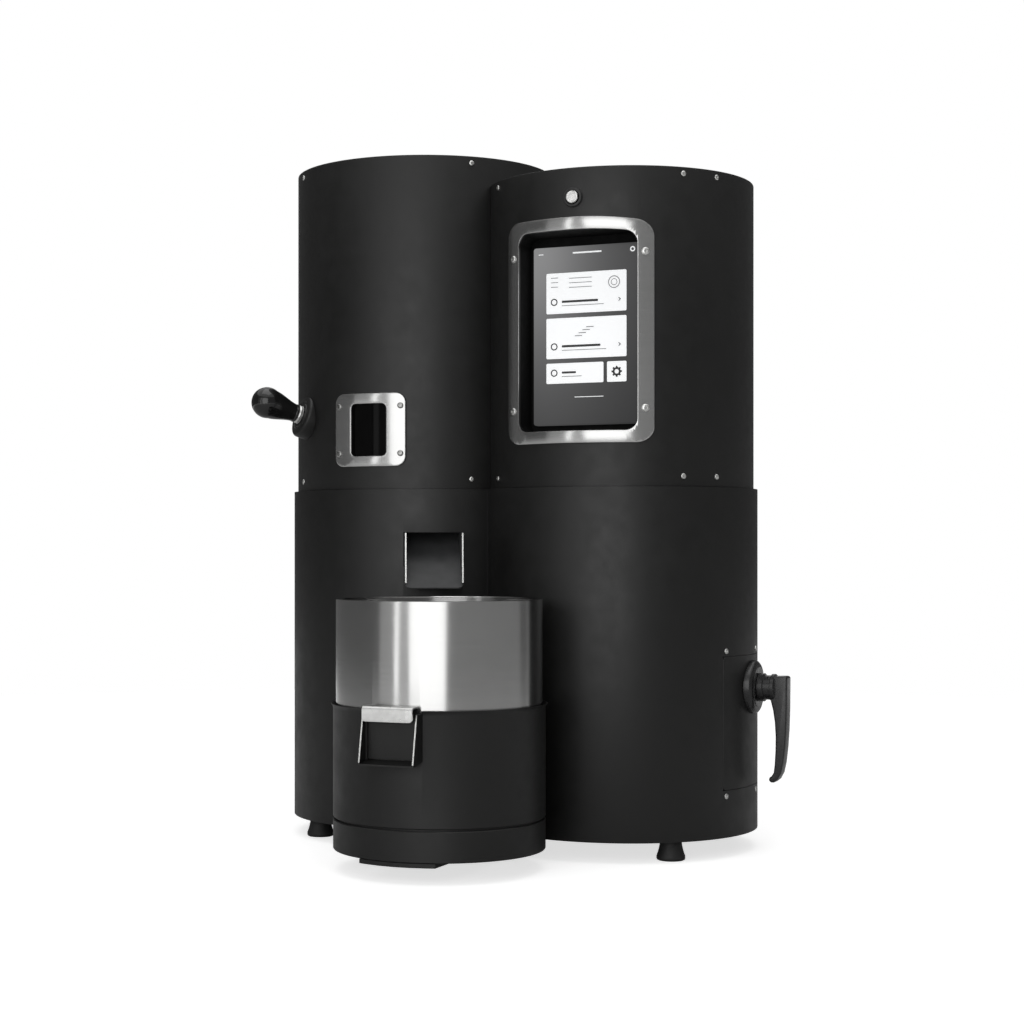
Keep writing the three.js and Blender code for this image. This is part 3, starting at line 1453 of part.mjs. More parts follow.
function makeBinGate() {
  // Two upright cheeks and a sloping floor, welded to the bucket's wall.
  const cheekInner = portHalfWidth + sheet;
  const cheekOuter = cheekInner + thinSheet;
  const outTop = binRadius + spoutTopOut;
  const outBottom = binRadius + spoutBottomOut;
  const inward = binRadius - overrun * 2;
  const side = new THREE.Shape([
    [inward, spoutLow + overrun], [outBottom, spoutLow], [outTop, spoutHigh], [inward, spoutHigh],
  ].map((p) => new THREE.Vector2(...p)));
  const slope = new THREE.Shape([
    [inward, spoutLow + overrun], [outBottom, spoutLow], [outBottom, spoutLow - thinSheet],
    [inward, spoutLow + overrun - thinSheet],
  ].map((p) => new THREE.Vector2(...p)));
  const wallSpace = bar(binRadius + clearance, spoutLow - overrun * 2, spoutHigh + overrun, binTurns);
  const gateOut = binRadius + gateGap + thinSheet;
  const lipDepth = gateOut + gateGap;
  const guides = [];
  for (const sign of [-1, 1]) {
    const x0 = Math.min(sign * (cheekInner - sheet), sign * cheekOuter);
    const x1 = Math.max(sign * (cheekInner - sheet), sign * cheekOuter);
    guides.push(box(x0, -lipDepth - thinSheet, spoutLow + overrun / 2, x1, -lipDepth, spoutHigh));
  }
  const gateSpace = box(
    -cheekInner, -lipDepth, spoutLow + overrun / 2, cheekInner, 0, spoutHigh + overrun,
  );
  const spout = cut(
    join(
      sideways(side, -cheekOuter, -cheekInner), sideways(side, cheekInner, cheekOuter),
      sideways(slope, -cheekOuter, cheekOuter), ...guides,
    ),
    wallSpace,
    gateSpace,
  );
  place('bin_spout', spout, finishes.powderCoat(), coolingBin);

  // The gate's plate slides up in front of the port; its top folds out into the grip.
  const plateHalf = cheekInner - clearance;
  const plateLow = spoutLow + overrun / 2 + clearance;
  const plateIn = binRadius + gateGap;
  const plate = box(-plateHalf, -gateOut, plateLow, plateHalf, -plateIn, gripHigh);
  const gripIn = gateOut - thinSheet;
  const gripOut = gripIn + gripDepth;
  const fold = new THREE.Shape([
    [gripIn, gripHigh - thinSheet], [gripIn, gripHigh],
    [gripOut - sheet, gripHigh], [gripOut, gripHigh - sheet],
    [gripOut, gripLow], [gripOut - thinSheet, gripLow],
    [gripOut - thinSheet, gripHigh - gripCorner], [gripOut - gripCorner, gripHigh - thinSheet],
  ].map((p) => new THREE.Vector2(...p)));
  const grip = sideways(fold, -gripHalfWidth, gripHalfWidth);
  place('bin_gate', join(plate, grip), finishes.brushedSteel(), coolingBin);
}

const fanRadius = 62;
const fanHub = 20;
const fanLow = 66;
const fanHeight = 14;
const fanBlades = 5;
const fanMotorRadius = 26;
const fanChord = 19.6;
const fanPitch = radians(32);

function makeBinFan() {
  const low = footHeight + sheet + clearance;
  const high = fanLow - clearance;
  const motor = turn([
    [0, low], [fanMotorRadius + overrun, low], [fanMotorRadius + overrun, low + sheet * 2],
    [fanMotorRadius, low + sheet * 2], [fanMotorRadius, high - overrun], [shaftRadius * 2, high], [0, high],
  ], smallTurns);
  place('bin_fan_motor', motor, finishes.motorGrey(), coolingBin);

  const pieces = [bar(fanHub, fanLow, fanLow + fanHeight)];
  for (let k = 0; k < fanBlades; k += 1) {
    const section = boxShape(-fanChord / 2, -sheet / 2, fanChord / 2, sheet / 2);
    const blade = raise(section, fanHub / 2, fanRadius);
    const pitched = blade.rotateZ(fanPitch).rotateX(Math.PI / 2);
    pieces.push(pitched.translate(0, 0, fanLow + fanHeight / 2).rotateZ((k * fullTurn) / fanBlades));
  }
  place('bin_fan', join(...pieces), finishes.blackPlastic(), coolingBin);
}

place('base_plate', twinPrism(plateRadius, footHeight, baseTop), finishes.powderCoat(), machine);
place('lower_casing', makeLowerCasing(), finishes.powderCoat(), machine);
place('middle_deck', makeDeck(), finishes.powderCoat(), machine);
place('upper_casing_left', makeUpperCasingLeft(), finishes.powderCoat(), leftTower);
place('upper_casing_right', makeUpperCasingRight(), finishes.powderCoat(), rightTower);
makeTopPlates();
makeFeet();
makeHopper();
makeChamber();
makeDischarge();
makeHeater();
makeAgitator();
makeChaffDuct();
makeCyclone();
makeBlower();
makeExhaust();
makeWindow();
makeDisplay();
makeButton();
makeTrier();
makeDrawer();
makeLatch();
makeElectrics();
makeBinShelf();
makeBin();
makeBinGate();
makeBinFan();

// The origin is on the ground under the middle of the whole machine.
machine.updateMatrixWorld(true);
const extent = new THREE.Box3().setFromObject(machine, true);
const roaster = new THREE.Group();
machine.position.set(-(extent.min.x + extent.max.x) / 2, -(extent.min.y + extent.max.y) / 2, -extent.min.z);
roaster.add(machine);

export default roaster;
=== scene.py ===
import json
import math

import bmesh
import bpy
from mathutils import Matrix, Vector


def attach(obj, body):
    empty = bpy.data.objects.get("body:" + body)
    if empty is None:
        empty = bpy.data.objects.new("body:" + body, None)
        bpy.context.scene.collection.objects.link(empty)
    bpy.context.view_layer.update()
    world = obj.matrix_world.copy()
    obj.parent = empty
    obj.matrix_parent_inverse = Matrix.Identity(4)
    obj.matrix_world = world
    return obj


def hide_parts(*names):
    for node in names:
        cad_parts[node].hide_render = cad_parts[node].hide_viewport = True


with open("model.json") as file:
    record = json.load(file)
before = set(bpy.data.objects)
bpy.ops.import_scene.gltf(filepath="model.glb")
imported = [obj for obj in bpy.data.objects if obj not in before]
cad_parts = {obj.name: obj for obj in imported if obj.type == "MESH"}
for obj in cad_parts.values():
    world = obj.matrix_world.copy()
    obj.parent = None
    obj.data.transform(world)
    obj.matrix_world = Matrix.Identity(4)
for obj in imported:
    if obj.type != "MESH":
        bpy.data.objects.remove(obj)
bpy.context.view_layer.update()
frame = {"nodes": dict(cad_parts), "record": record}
print("frame loaded")

# everything is in metres; the towers and the bin are upright cylinders on these axes
axes = {"left": (-0.1285, 0.083847), "right": (0.0915, 0.083847), "bin": (-0.0115, -0.137346)}

# the camera stands level, at the height where the photo's horizon lies
view = {"place": (0.75546, -1.8274, 0.3055), "turn": 24.39, "lens": 68.92, "shiftX": 0.0703, "shiftY": 0.0324}


def link(name, data):
    made = bpy.data.objects.new(name, data)
    bpy.context.scene.collection.objects.link(made)
    return made


def setCamera():
    lens = bpy.data.cameras.new("camera")
    lens.lens = view["lens"]
    lens.sensor_width = 36
    lens.shift_x = view["shiftX"]
    lens.shift_y = view["shiftY"]
    lens.clip_start = 0.05
    camera = link("camera", lens)
    camera.location = view["place"]
    camera.rotation_euler = (math.pi / 2, 0, math.radians(view["turn"]))
    bpy.context.scene.camera = camera


setCamera()


# making and finishing shapes
def closeUp(form):
    bmesh.ops.remove_doubles(form, verts=form.verts[:], dist=1e-6)
    bmesh.ops.recalc_face_normals(form, faces=form.faces[:])
    return form


def shift(form, x=0, y=0, z=0):
    bmesh.ops.translate(form, verts=form.verts[:], vec=(x, y, z))
    return form


def rotate(form, degrees, axis, centre=(0, 0, 0)):
    turn = Matrix.Rotation(math.radians(degrees), 3, axis)
    bmesh.ops.rotate(form, cent=centre, matrix=turn, verts=form.verts[:])
    return form


def spin(form, degrees, steps, centre=(0, 0, 0), axis=(0, 0, 1), whole=False):
    bmesh.ops.spin(form, geom=form.verts[:] + form.edges[:] + form.faces[:], cent=centre, axis=axis,
                   angle=math.radians(degrees), steps=steps, use_merge=whole)
    return form


def near(out, up, *points):
    # the points are in millimetres from the given spot
    return [(out + x / 1000, up + z / 1000) for x, z in points]


def mm(*points):
    return near(0, 0, *points)


def spun(points, centre=(0, 0), steps=128, closed=True):
    # a profile of (out, up) turned round an upright axis
    form = bmesh.new()
    spots = [form.verts.new((centre[0] + out, centre[1], up)) for out, up in points]
    for first, second in zip(spots, spots[1:] + spots[:1] if closed else spots[1:]):
        form.edges.new((first, second))
    return closeUp(spin(form, 360, steps, (*centre, 0), whole=True))


def bevel(form, parts, width, segments, kind="EDGES"):
    bmesh.ops.bevel(form, geom=parts, offset=width, offset_type="OFFSET", segments=segments, profile=0.5,
                    affect=kind, material=-1, clamp_overlap=True)
    return form


def soften(form, width, segments=2):
    # rounds every edge that is sharper than 40 degrees
    limit = math.radians(40)
    edges = [e for e in form.edges if len(e.link_faces) == 2 and e.calc_face_angle(0) > limit]
    return bevel(form, edges, width, segments)


def softenLevels(form, levels, width):
    # rounds the rim edges that lie at the given heights
    def level(vert):
        return any(abs(vert.co.z - height) < 1e-5 for height in levels)

    edges = [e for e in form.edges if all(level(v) for v in e.verts) and e.calc_face_angle(0) > 0.6]
    return bevel(form, edges, width, 2)


def outline(form, half, low, high, corner, segments=6, middle=0):
    # a rounded rectangle across X and Z at Y = 0, as one face
    spots = [form.verts.new((middle + x, 0, z)) for x, z in ((-half, low), (half, low), (half, high), (-half, high))]
    form.faces.new(spots)
    if corner:
        bevel(form, spots, corner, segments, "VERTICES")
    return form


def thicken(form, x=0, y=0, z=0):
    # pushes the faces along one way, so that a flat shape becomes solid
    grown = bmesh.ops.extrude_face_region(form, geom=form.faces[:], use_keep_orig=True)["geom"]
    bmesh.ops.translate(form, verts=[v for v in grown if isinstance(v, bmesh.types.BMVert)], vec=(x, y, z))
    return closeUp(form)


def plate(half, low, high, corner, depth, segments=6, middle=0):
    # its front is at Y = 0 and its back at Y = depth
    return thicken(outline(bmesh.new(), half, low, high, corner, segments, middle), y=depth)


def framePlate(outer, inner, depth, segments=8):
    form = bmesh.new()
    outline(form, *outer, segments)
    outline(form, *inner, segments)
    bmesh.ops.delete(form, geom=form.faces[:], context="FACES_ONLY")
    bmesh.ops.bridge_loops(form, edges=form.edges[:])
    return thicken(form, y=depth)


def sideShape(points, left, right):
    # an outline of (out, up) in front of the axis, pushed along X
    form = bmesh.new()
    form.faces.new([form.verts.new((left, -out, up)) for out, up in points])
    return thicken(form, x=right - left)


def drum(radius, low, high, centre=(0, 0), segments=192):
    form = bmesh.new()
    bmesh.ops.create_cone(form, cap_ends=True, segments=segments, radius1=radius, radius2=radius,
                          depth=high - low, matrix=Matrix.Translation((*centre, (low + high) / 2)))
    return form


def block(low, high):
    form = bmesh.new()
    middle = [(a + b) / 2 for a, b in zip(low, high)]
    size = [b - a for a, b in zip(low, high)]
    bmesh.ops.create_cube(form, size=1, matrix=Matrix.Translation(middle) @ Matrix.Diagonal((*size, 1)))
    return form


def strips(form, step):
    # cuts a flat plate into upright strips, so that it can bend
    reach = [v.co.x for v in form.verts]
    spot = math.ceil(min(reach) / step) * step
    while spot < max(reach):
        bmesh.ops.bisect_plane(form, geom=form.verts[:] + form.edges[:] + form.faces[:], dist=1e-7,
                               plane_co=(spot, 0, 0), plane_no=(1, 0, 0))
        spot += step
    return form


def wrap(form, centre, radius, degrees=0):
    # bends a flat plate round a tower: X becomes the arc and Y the depth under the surface
    for vert in form.verts:
        turn = vert.co.x / radius + math.radians(degrees)
        out = radius - vert.co.y
        vert.co.x = centre[0] + out * math.sin(turn)
        vert.co.y = centre[1] - out * math.cos(turn)
    return form


def drape(form, centre, radius):
    # presses a flat plate straight back onto a tower, so its outline stays true from the front
    for vert in form.verts:
        out = radius - vert.co.y
        vert.co.y = centre[1] - math.sqrt(out * out - vert.co.x * vert.co.x)
        vert.co.x += centre[0]
    return form


def stand(form, centre, radius, degrees=0, height=0, tilt=0):
    # carries a shape made about the origin, with its front towards -Y, to the wall of a tower
    place = Matrix.Translation((*centre, 0)) @ Matrix.Rotation(math.radians(degrees), 4, "Z")
    place = place @ Matrix.Translation((0, -radius, height)) @ Matrix.Rotation(math.radians(-tilt), 4, "X")
    bmesh.ops.transform(form, matrix=place, verts=form.verts[:])
    return form


def turned(form, centre, degrees):
    return stand(form, centre, 0, degrees)


def layForward(form):
    # the +Z of a turned shape becomes -Y, out of the wall
    return rotate(form, 90, "X")


def behind(form, x=0, up=0, tower="left"):
    # carries a shape made with its front towards -Y to the back of a tower, keeping X true to the room
    return shift(rotate(form, 180, "Z"), axes[tower][0] + x, axes[tower][1], up)


def placed(name, form):
    mesh = bpy.data.meshes.new(name)
    form.to_mesh(mesh)
    form.free()
    return link(name, mesh)


def gather(forms):
    whole = bmesh.new()
    for form in forms:
        mesh = bpy.data.meshes.new("part")
        form.to_mesh(mesh)
        form.free()
        whole.from_mesh(mesh)
        bpy.data.meshes.remove(mesh)
    return whole


def piece(name, form, material, node=None, body="machine", smooth=32):
    made = placed(name, form)
    made.data.materials.append(material)
    for face in made.data.polygons:
        face.use_smooth = True
    made.data.set_sharp_from_angle(angle=math.radians(smooth))
    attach(made, body)
    if node:
        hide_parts(node)


def carve(form, cutters, joined=()):
    # joins and cuts whole solids and gives the result as a new form
    solid = placed("solid", form)
    tools = []
    for operation, shapes in (("UNION", joined), ("DIFFERENCE", cutters)):
        for shape in shapes:
            tools.append(placed("tool", shape))
            change = solid.modifiers.new("change", "BOOLEAN")
            change.operation = operation
            change.object = tools[-1]
            change.solver = "EXACT"
    bpy.context.view_layer.update()
    result = bmesh.new()
    result.from_mesh(solid.evaluated_get(bpy.context.evaluated_depsgraph_get()).to_mesh())
    for extra in tools + [solid]:
        mesh = extra.data
        bpy.data.objects.remove(extra)
        bpy.data.meshes.remove(mesh)
    return result


# steps for procedural materials; each one adds a node and returns the socket it ends in
def fill(tree, inputs, values):
    for key, value in values.items():
        if isinstance(value, bpy.types.NodeSocket):
            tree.links.new(value, inputs[key])
        else:
            inputs[key].default_value = value


def add(tree, kind, out, values, **settings):
    node = tree.nodes.new("ShaderNode" + kind)
    for name, value in settings.items():
        setattr(node, name, value)
    fill(tree, node.inputs, values)
    return node.outputs[out]


def reckon(tree, operation, first, second):
    return add(tree, "Math", 0, {0: first, 1: second}, operation=operation)


def objectSpace(tree, scale=(1, 1, 1), centre=(0, 0, 0)):
    values = {"Vector": add(tree, "TexCoord", "Object", {}), "Location": centre, "Scale": scale}
    return add(tree, "Mapping", "Vector", values, vector_type="TEXTURE")


def grain(tree, vector, scale, detail=3, roughness=0.55):
    return add(tree, "TexNoise", "Fac", {"Vector": vector, "Scale": scale, "Detail": detail, "Roughness": roughness})


def spread(tree, factor, low, high, fromLow=0.3, fromHigh=0.7):
    values = {"Value": factor, "From Min": fromLow, "From Max": fromHigh, "To Min": low, "To Max": high}
    return add(tree, "MapRange", "Result", values)


def blend(tree, factor, first, second):
    return add(tree, "Mix", "Result", {"Factor": factor, "A": (*first, 1), "B": (*second, 1)}, data_type="RGBA")


def emboss(tree, height, strength, distance):
    return add(tree, "Bump", "Normal", {"Height": height, "Strength": strength, "Distance": distance})


def seenBy(tree, *kinds):
    # one for a camera ray or a ray of any of the named kinds
    path = add(tree, "LightPath", 0, {}).node.outputs
    total = path["Is Camera Ray"]
    for kind in kinds:
        total = reckon(tree, "MAXIMUM", total, path[kind])
    return total


def newMaterial(name, colour, roughness=0.5, metallic=0.0, **sockets):
    made = bpy.data.materials.new(name)
    made.use_nodes = True
    base = made.node_tree.nodes["Principled BSDF"].inputs
    fill(made.node_tree, base, {"Base Color": (*colour, 1), "Roughness": roughness, "Metallic": metallic, **sockets})
    return made, made.node_tree, base


# a white studio with plain soft boxes; turns are degrees to the right of the machine's front
studio = {
    "floorColour": (0.82, 0.82, 0.82), "lift": 0.68, "ambient": 0.34, "floorRadius": 2.2,
    "wallOut": 3.5, "wallHigh": 3.2, "aim": 0.36,
    # name, turn, distance, height, width, tall, brightness
    "softboxes": [
        ("mainBox", 10.6, 3.0, 1.0, 2.16, 2.2, 2.1),
        ("stripBox", -22, 3.0, 0.95, 0.27, 2.2, 2.2),
        ("gapBox", -14.5, 3.04, 0.95, 0.50, 2.2, 0.5),
        ("shoulderBox", -34, 3.06, 0.95, 0.90, 2.2, 0.33),
        ("edgeBox", 138, 2.6, 0.80, 0.40, 1.9, 0.08),
        ("rearBox", 205, 3.0, 1.10, 1.8, 2.0, 1.0),
        ("topBox", 0, 0.2, 2.60, 2.0, 2.0, 1.3),
    ],
    # from turn, to turn, brightness
    "walls": [(-180, -8, 0.10), (-8, 122, 0.25), (122, 180, 0.12)],
}


def makeStage(name, form, material):
    made = placed(name, form)
    made.data.materials.append(material)
    return made


def makeFloor():
    paper, tree, base = newMaterial("studio paper", studio["floorColour"], 0.9,
                                    **{"Specular IOR Level": 0.1, "Emission Color": (1, 1, 1, 1)})
    fill(tree, base, {"Emission Strength": reckon(tree, "MULTIPLY", seenBy(tree), studio["lift"])})
    disc = bmesh.new()
    bmesh.ops.create_circle(disc, cap_ends=True, radius=studio["floorRadius"], segments=96)
    makeStage("floor", disc, paper)


def makeWalls():
    # grey cloth round the room, seen only in reflections
    for number, (start, end, brightness) in enumerate(studio["walls"]):
        cloth = newMaterial("grey studio cloth", (0.02, 0.02, 0.02), **{
            "Specular IOR Level": 0, "Emission Color": (1, 1, 1, 1), "Emission Strength": brightness})[0]
        form = bmesh.new()
        form.edges.new([form.verts.new((0, -studio["wallOut"], height)) for height in (0.001, studio["wallHigh"])])
        wall = makeStage("wall%d" % number, spin(rotate(form, start, "Z"), end - start, 24), cloth)
        wall.visible_camera = False
        wall.visible_shadow = False


def makeLights():
    world = bpy.data.worlds.new("studio")
    bpy.context.scene.world = world
    world.use_nodes = True
    tree = world.node_tree
    seen = seenBy(tree, "Is Glossy Ray", "Is Transmission Ray")
    white = add(tree, "Mix", "Result", {"A": studio["ambient"], "B": 1, "Factor": seen})
    fill(tree, tree.nodes["Background"].inputs, {"Color": (1, 1, 1, 1), "Strength": white})
    for name, turn, distance, height, width, tall, brightness in studio["softboxes"]:
        lamp = bpy.data.lights.new(name, "AREA")
        lamp.shape = "RECTANGLE"
        lamp.size, lamp.size_y = width, tall
        lamp.energy = brightness * math.pi * width * tall
        box = link(name, lamp)
        angle = math.radians(turn)
        box.location = (distance * math.sin(angle), -distance * math.cos(angle), height)
        aim = Vector((0, 0, studio["aim"])) - box.location
        box.rotation_euler = aim.to_track_quat("-Z", "Y").to_euler()


bpy.context.scene.view_settings.view_transform = "Standard"
makeLights()
makeFloor()
makeWalls()
print("studio set")

powder = {"dark": (0.0036, 0.0036, 0.0034), "light": (0.0060, 0.0060, 0.0057), "smooth": 0.40, "rough": 0.50,
          "peel": 1400, "peelDepth": 0.00006}


def powderCoat():
    made, tree, base = newMaterial("black powder coat", powder["dark"], 0.45, **{"Specular IOR Level": 0.42})
    where = objectSpace(tree)
    fill(tree, base, {
        "Base Color": blend(tree, spread(tree, grain(tree, where, 9, 2), 0, 1), powder["dark"], powder["light"]),
        "Roughness": spread(tree, grain(tree, where, 60, 4), powder["smooth"], powder["rough"]),
        "Normal": emboss(tree, grain(tree, where, powder["peel"], 2), 0.55, powder["peelDepth"]),
    })
    return made


brush = {"tone": (0.50, 0.50, 0.495), "dark": (0.455, 0.455, 0.45), "smooth": 0.19, "rough": 0.25, "stretch": 0.8,
         "acrossLines": 3200, "alongLines": 1.44, "lineDepth": 0.000004}


def brushedSteel(name, centre):
    # hairlines run round the given axis
    made, tree, base = newMaterial(name, brush["tone"], 0.28, 1.0,
                                   **{"Anisotropic": brush["stretch"], "Anisotropic Rotation": 0.25})
    place = objectSpace(tree, centre=(*centre, 0))
    parts = add(tree, "SeparateXYZ", 0, {0: place}).node.outputs
    turn = reckon(tree, "ARCTAN2", parts["Y"], parts["X"])
    flat = add(tree, "CombineXYZ", 0, {"X": reckon(tree, "MULTIPLY", turn, brush["alongLines"]),
                                       "Y": reckon(tree, "MULTIPLY", parts["Z"], brush["acrossLines"])})
    lines = grain(tree, flat, 1, 3, 0.7)
    uneven = reckon(tree, "ADD", lines, grain(tree, place, 14))
    fill(tree, base, {
        "Base Color": blend(tree, spread(tree, lines, 0, 1), brush["dark"], brush["tone"]),
        "Roughness": spread(tree, uneven, brush["smooth"], brush["rough"], 0.7, 1.3),
        "Tangent": add(tree, "Tangent", 0, {}, direction_type="RADIAL", axis="Z"),
        "Normal": emboss(tree, lines, 0.35, brush["lineDepth"]),
    })
    return made


def galvanisedSheet():
    made, tree, base = newMaterial("galvanised sheet", (0.5, 0.51, 0.53), 0.4, 1.0)
    where = objectSpace(tree)
    flakes = add(tree, "TexVoronoi", "Color", {"Scale": 210, "Vector": where})
    shade = add(tree, "SeparateColor", 0, {0: flakes}).node.outputs
    fill(tree, base, {
        "Base Color": blend(tree, spread(tree, shade[0], 0, 1, 0, 1), (0.44, 0.45, 0.465), (0.54, 0.55, 0.565)),
        "Roughness": spread(tree, shade[1], 0.34, 0.5, 0, 1),
        "Normal": emboss(tree, grain(tree, where, 200), 0.15, 0.00005),
    })
    return made


def worn(name, dark, light, smooth, rough, metallic=0.0, size=40, bump=0.25, fine=900, specular=0.5):
    # a plain finish with cloudy tone, uneven gloss and a fine surface; a number stands for a neutral grey
    dark, light = (tone if isinstance(tone, tuple) else (tone,) * 3 for tone in (dark, light))
    made, tree, base = newMaterial(name, dark, smooth, metallic, **{"Specular IOR Level": specular})
    where = objectSpace(tree)
    fill(tree, base, {
        "Base Color": blend(tree, spread(tree, grain(tree, where, size), 0, 1), dark, light),
        "Roughness": spread(tree, grain(tree, where, size * 3, 5), smooth, rough),
        "Normal": emboss(tree, grain(tree, where, fine, 2), bump, 0.00008),
    })
    return made


def lit(name, colour, glow):
    made, tree, base = newMaterial(name, colour, 0.2, **{"Emission Color": (*colour, 1), "Emission Strength": glow})
    cloudy = grain(tree, objectSpace(tree), 900, 2)
    fill(tree, base, {"Base Color": blend(tree, cloudy, [c * 0.97 for c in colour], colour)})
    return made


blackPaint = powderCoat()
leftSteel = brushedSteel("brushed steel on the left tower", axes["left"])
rightSteel = brushedSteel("brushed steel on the right tower", axes["right"])
potSteel = brushedSteel("brushed steel of the pot", axes["bin"])
zinc = galvanisedSheet()
innerSteel = worn("plain stainless sheet", (0.42, 0.41, 0.40), (0.55, 0.54, 0.53), 0.28, 0.42, 1.0)
screwSteel = worn("bright screws", (0.55, 0.55, 0.54), (0.72, 0.72, 0.70), 0.22, 0.35, 1.0, size=300)
frameScrewSteel = worn("screws of the window", (0.24, 0.24, 0.235), (0.38, 0.38, 0.37), 0.20, 0.34, 1.0, size=300)
buttonSteel = worn("turned steel", (0.52, 0.52, 0.51), (0.66, 0.66, 0.65), 0.16, 0.26, 1.0, size=500)
gripSteel = worn("satin steel grip", (0.58, 0.58, 0.57), (0.70, 0.70, 0.69), 0.26, 0.36, 1.0, size=120)
blackRubber = worn("black rubber", 0.010, 0.018, 0.55, 0.72, fine=700)
blackPlastic = worn("black plastic", (0.009, 0.009, 0.0095), (0.014, 0.014, 0.0145), 0.22, 0.32, size=60)
satinPlastic = worn("satin black plastic", 0.011, 0.016, 0.42, 0.55, fine=1600)
glossPlastic = worn("gloss black plastic", 0.006, 0.009, 0.10, 0.18, size=30, bump=0.08)
ceramicBody = worn("heater ceramic", (0.52, 0.48, 0.42), (0.64, 0.61, 0.56), 0.6, 0.8)
boardGreen = worn("circuit board lacquer", (0.012, 0.085, 0.035), (0.02, 0.12, 0.05), 0.3, 0.4)
motorPaint = worn("motor paint", (0.055, 0.058, 0.06), (0.085, 0.088, 0.09), 0.4, 0.5, 0.2)
sightGlass = worn("dark sight glass", 0.0022, 0.0034, 0.05, 0.09, bump=0.02, specular=0.05)
screenGlass = worn("dark touch glass", (0.006, 0.006, 0.0065), (0.009, 0.009, 0.0095), 0.28, 0.34, size=12, bump=0.02,
                   specular=0.08)
trayBlack = worn("matt black tray", 0.0016, 0.0024, 0.6, 0.75, specular=0.15)
# the chute's black is painted about ten times lighter than the casing's, as painted light standing in for light in its
# shaded inside
chuteLightenedPaint = worn("chute black lightened as painted light", (0.040, 0.041, 0.042), (0.058, 0.059, 0.061), 0.34, 0.46, size=55)
cardWhite = lit("lit white card", (0.86, 0.87, 0.88), 0.45)
markDark = lit("dark mark", (0.02, 0.02, 0.022), 0.0)
markSoft = lit("soft grey mark", (0.35, 0.355, 0.36), 0.1)
print("materials made")

# the finishes of each of the record's material slots; the first one also dresses the CAD nodes
finishes = {
    "powder_coat": (blackPaint, chuteLightenedPaint), "inner_steel": (innerSteel,), "galvanised": (zinc,),
    "brushed_steel": (screwSteel, leftSteel, rightSteel, potSteel, frameScrewSteel, buttonSteel, gripSteel),
    "rubber": (blackRubber,), "black_plastic": (blackPlastic, satinPlastic, glossPlastic, trayBlack),
    "dark_glass": (sightGlass,), "screen": (screenGlass, cardWhite, markDark, markSoft),
    "ceramic": (ceramicBody,), "board": (boardGreen,), "motor_grey": (motorPaint,),
}
for part in frame["record"]["subparts"]:
    for slot in frame["nodes"][part["node"]].material_slots:
        slot.material = finishes[part["material_slot"]][0]
print("CAD nodes dressed")

towers = {
    "lowerRadius": 0.140, "upperRadius": 0.136, "wall": 0.002, "foot": 0.020, "seam": 0.362, "gap": 0.0003,
    "leftTop": 0.698, "rightTop": 0.670, "rim": 0.0007,
    "chuteTurn": 27.9, "chuteHalf": 0.0294, "chuteLow": 0.2845, "chuteHigh": 0.3185,
    "doorHalf": 25, "doorLow": 0.066, "doorHigh": 0.197,
    "serviceHalf": 0.041, "serviceLow": 0.056, "serviceHigh": 0.128,
    "slotHalf": 0.0025, "slotLength": 0.076, "slotStep": 9, "slots": 6, "lowerSlots": 0.205, "upperSlots": 0.425,
    "buttonHole": 0.0085, "buttonUp": 0.641, "collarHole": 0.0403, "collarUp": 0.592,
    "trierHole": 0.0103, "trierSpot": (-41, 0.439, 18),
}
# outlines are half width, low, high and corner radius
window = {"outer": (0.0395, 0.385, 0.459, 0.010), "open": (0.0196, 0.3955, 0.4485, 0.005),
          "thick": 0.0022, "edge": 0.0007, "bow": 0}
bezel = {"outer": (0.0756, 0.404, 0.622, 0.015), "open": (0.0614, 0.416, 0.610, 0.011),
         "thick": 0.0027, "edge": 0.0005, "bow": 0.006}
tray = {"outer": (0.0634, 0.414, 0.612, 0.012), "open": (0.0614, 0.416, 0.610, 0.010),
        "back": 0.0902, "wall": 0.002, "postAcross": 0.0455, "postUp": (0.446, 0.580), "post": 0.004,
        "postLength": 0.0063, "cutOut": 0.15, "trimOut": 0.17, "trimUp": (0.40, 0.63)}
# how far cutters reach past what they cut
over = 0.006


def onWall(form, tower, *spot):
    return stand(layForward(form), axes[tower], towers["upperRadius"], *spot)


def opening(sizes, depth, tower):
    return shift(plate(*sizes, depth), axes[tower][0], axes[tower][1] - towers["upperRadius"] - 0.01)


def backSlots(tower, radius, low):
    shapes = []
    for k in range(towers["slots"]):
        slot = plate(towers["slotHalf"], low, low + towers["slotLength"], towers["slotHalf"] * 0.98, 0.03)
        turn = 180 + (k - (towers["slots"] - 1) / 2) * towers["slotStep"]
        shapes.append(stand(slot, axes[tower], radius + 0.015, turn))
    return shapes


def doorWedge():
    # the part of the wall that the chaff door fills, spun about the tower's axis
    centre, radius = (*axes["right"], 0), towers["lowerRadius"]
    near, far, low, high = radius - over, radius + over, towers["doorLow"], towers["doorHigh"]
    form = bmesh.new()
    form.faces.new([form.verts.new((centre[0] + out, centre[1], up))
                    for out, up in ((near, low), (far, low), (far, high), (near, high))])
    rotate(form, -towers["doorHalf"], "Z", centre)
    return closeUp(spin(form, 2 * towers["doorHalf"], 24, centre))


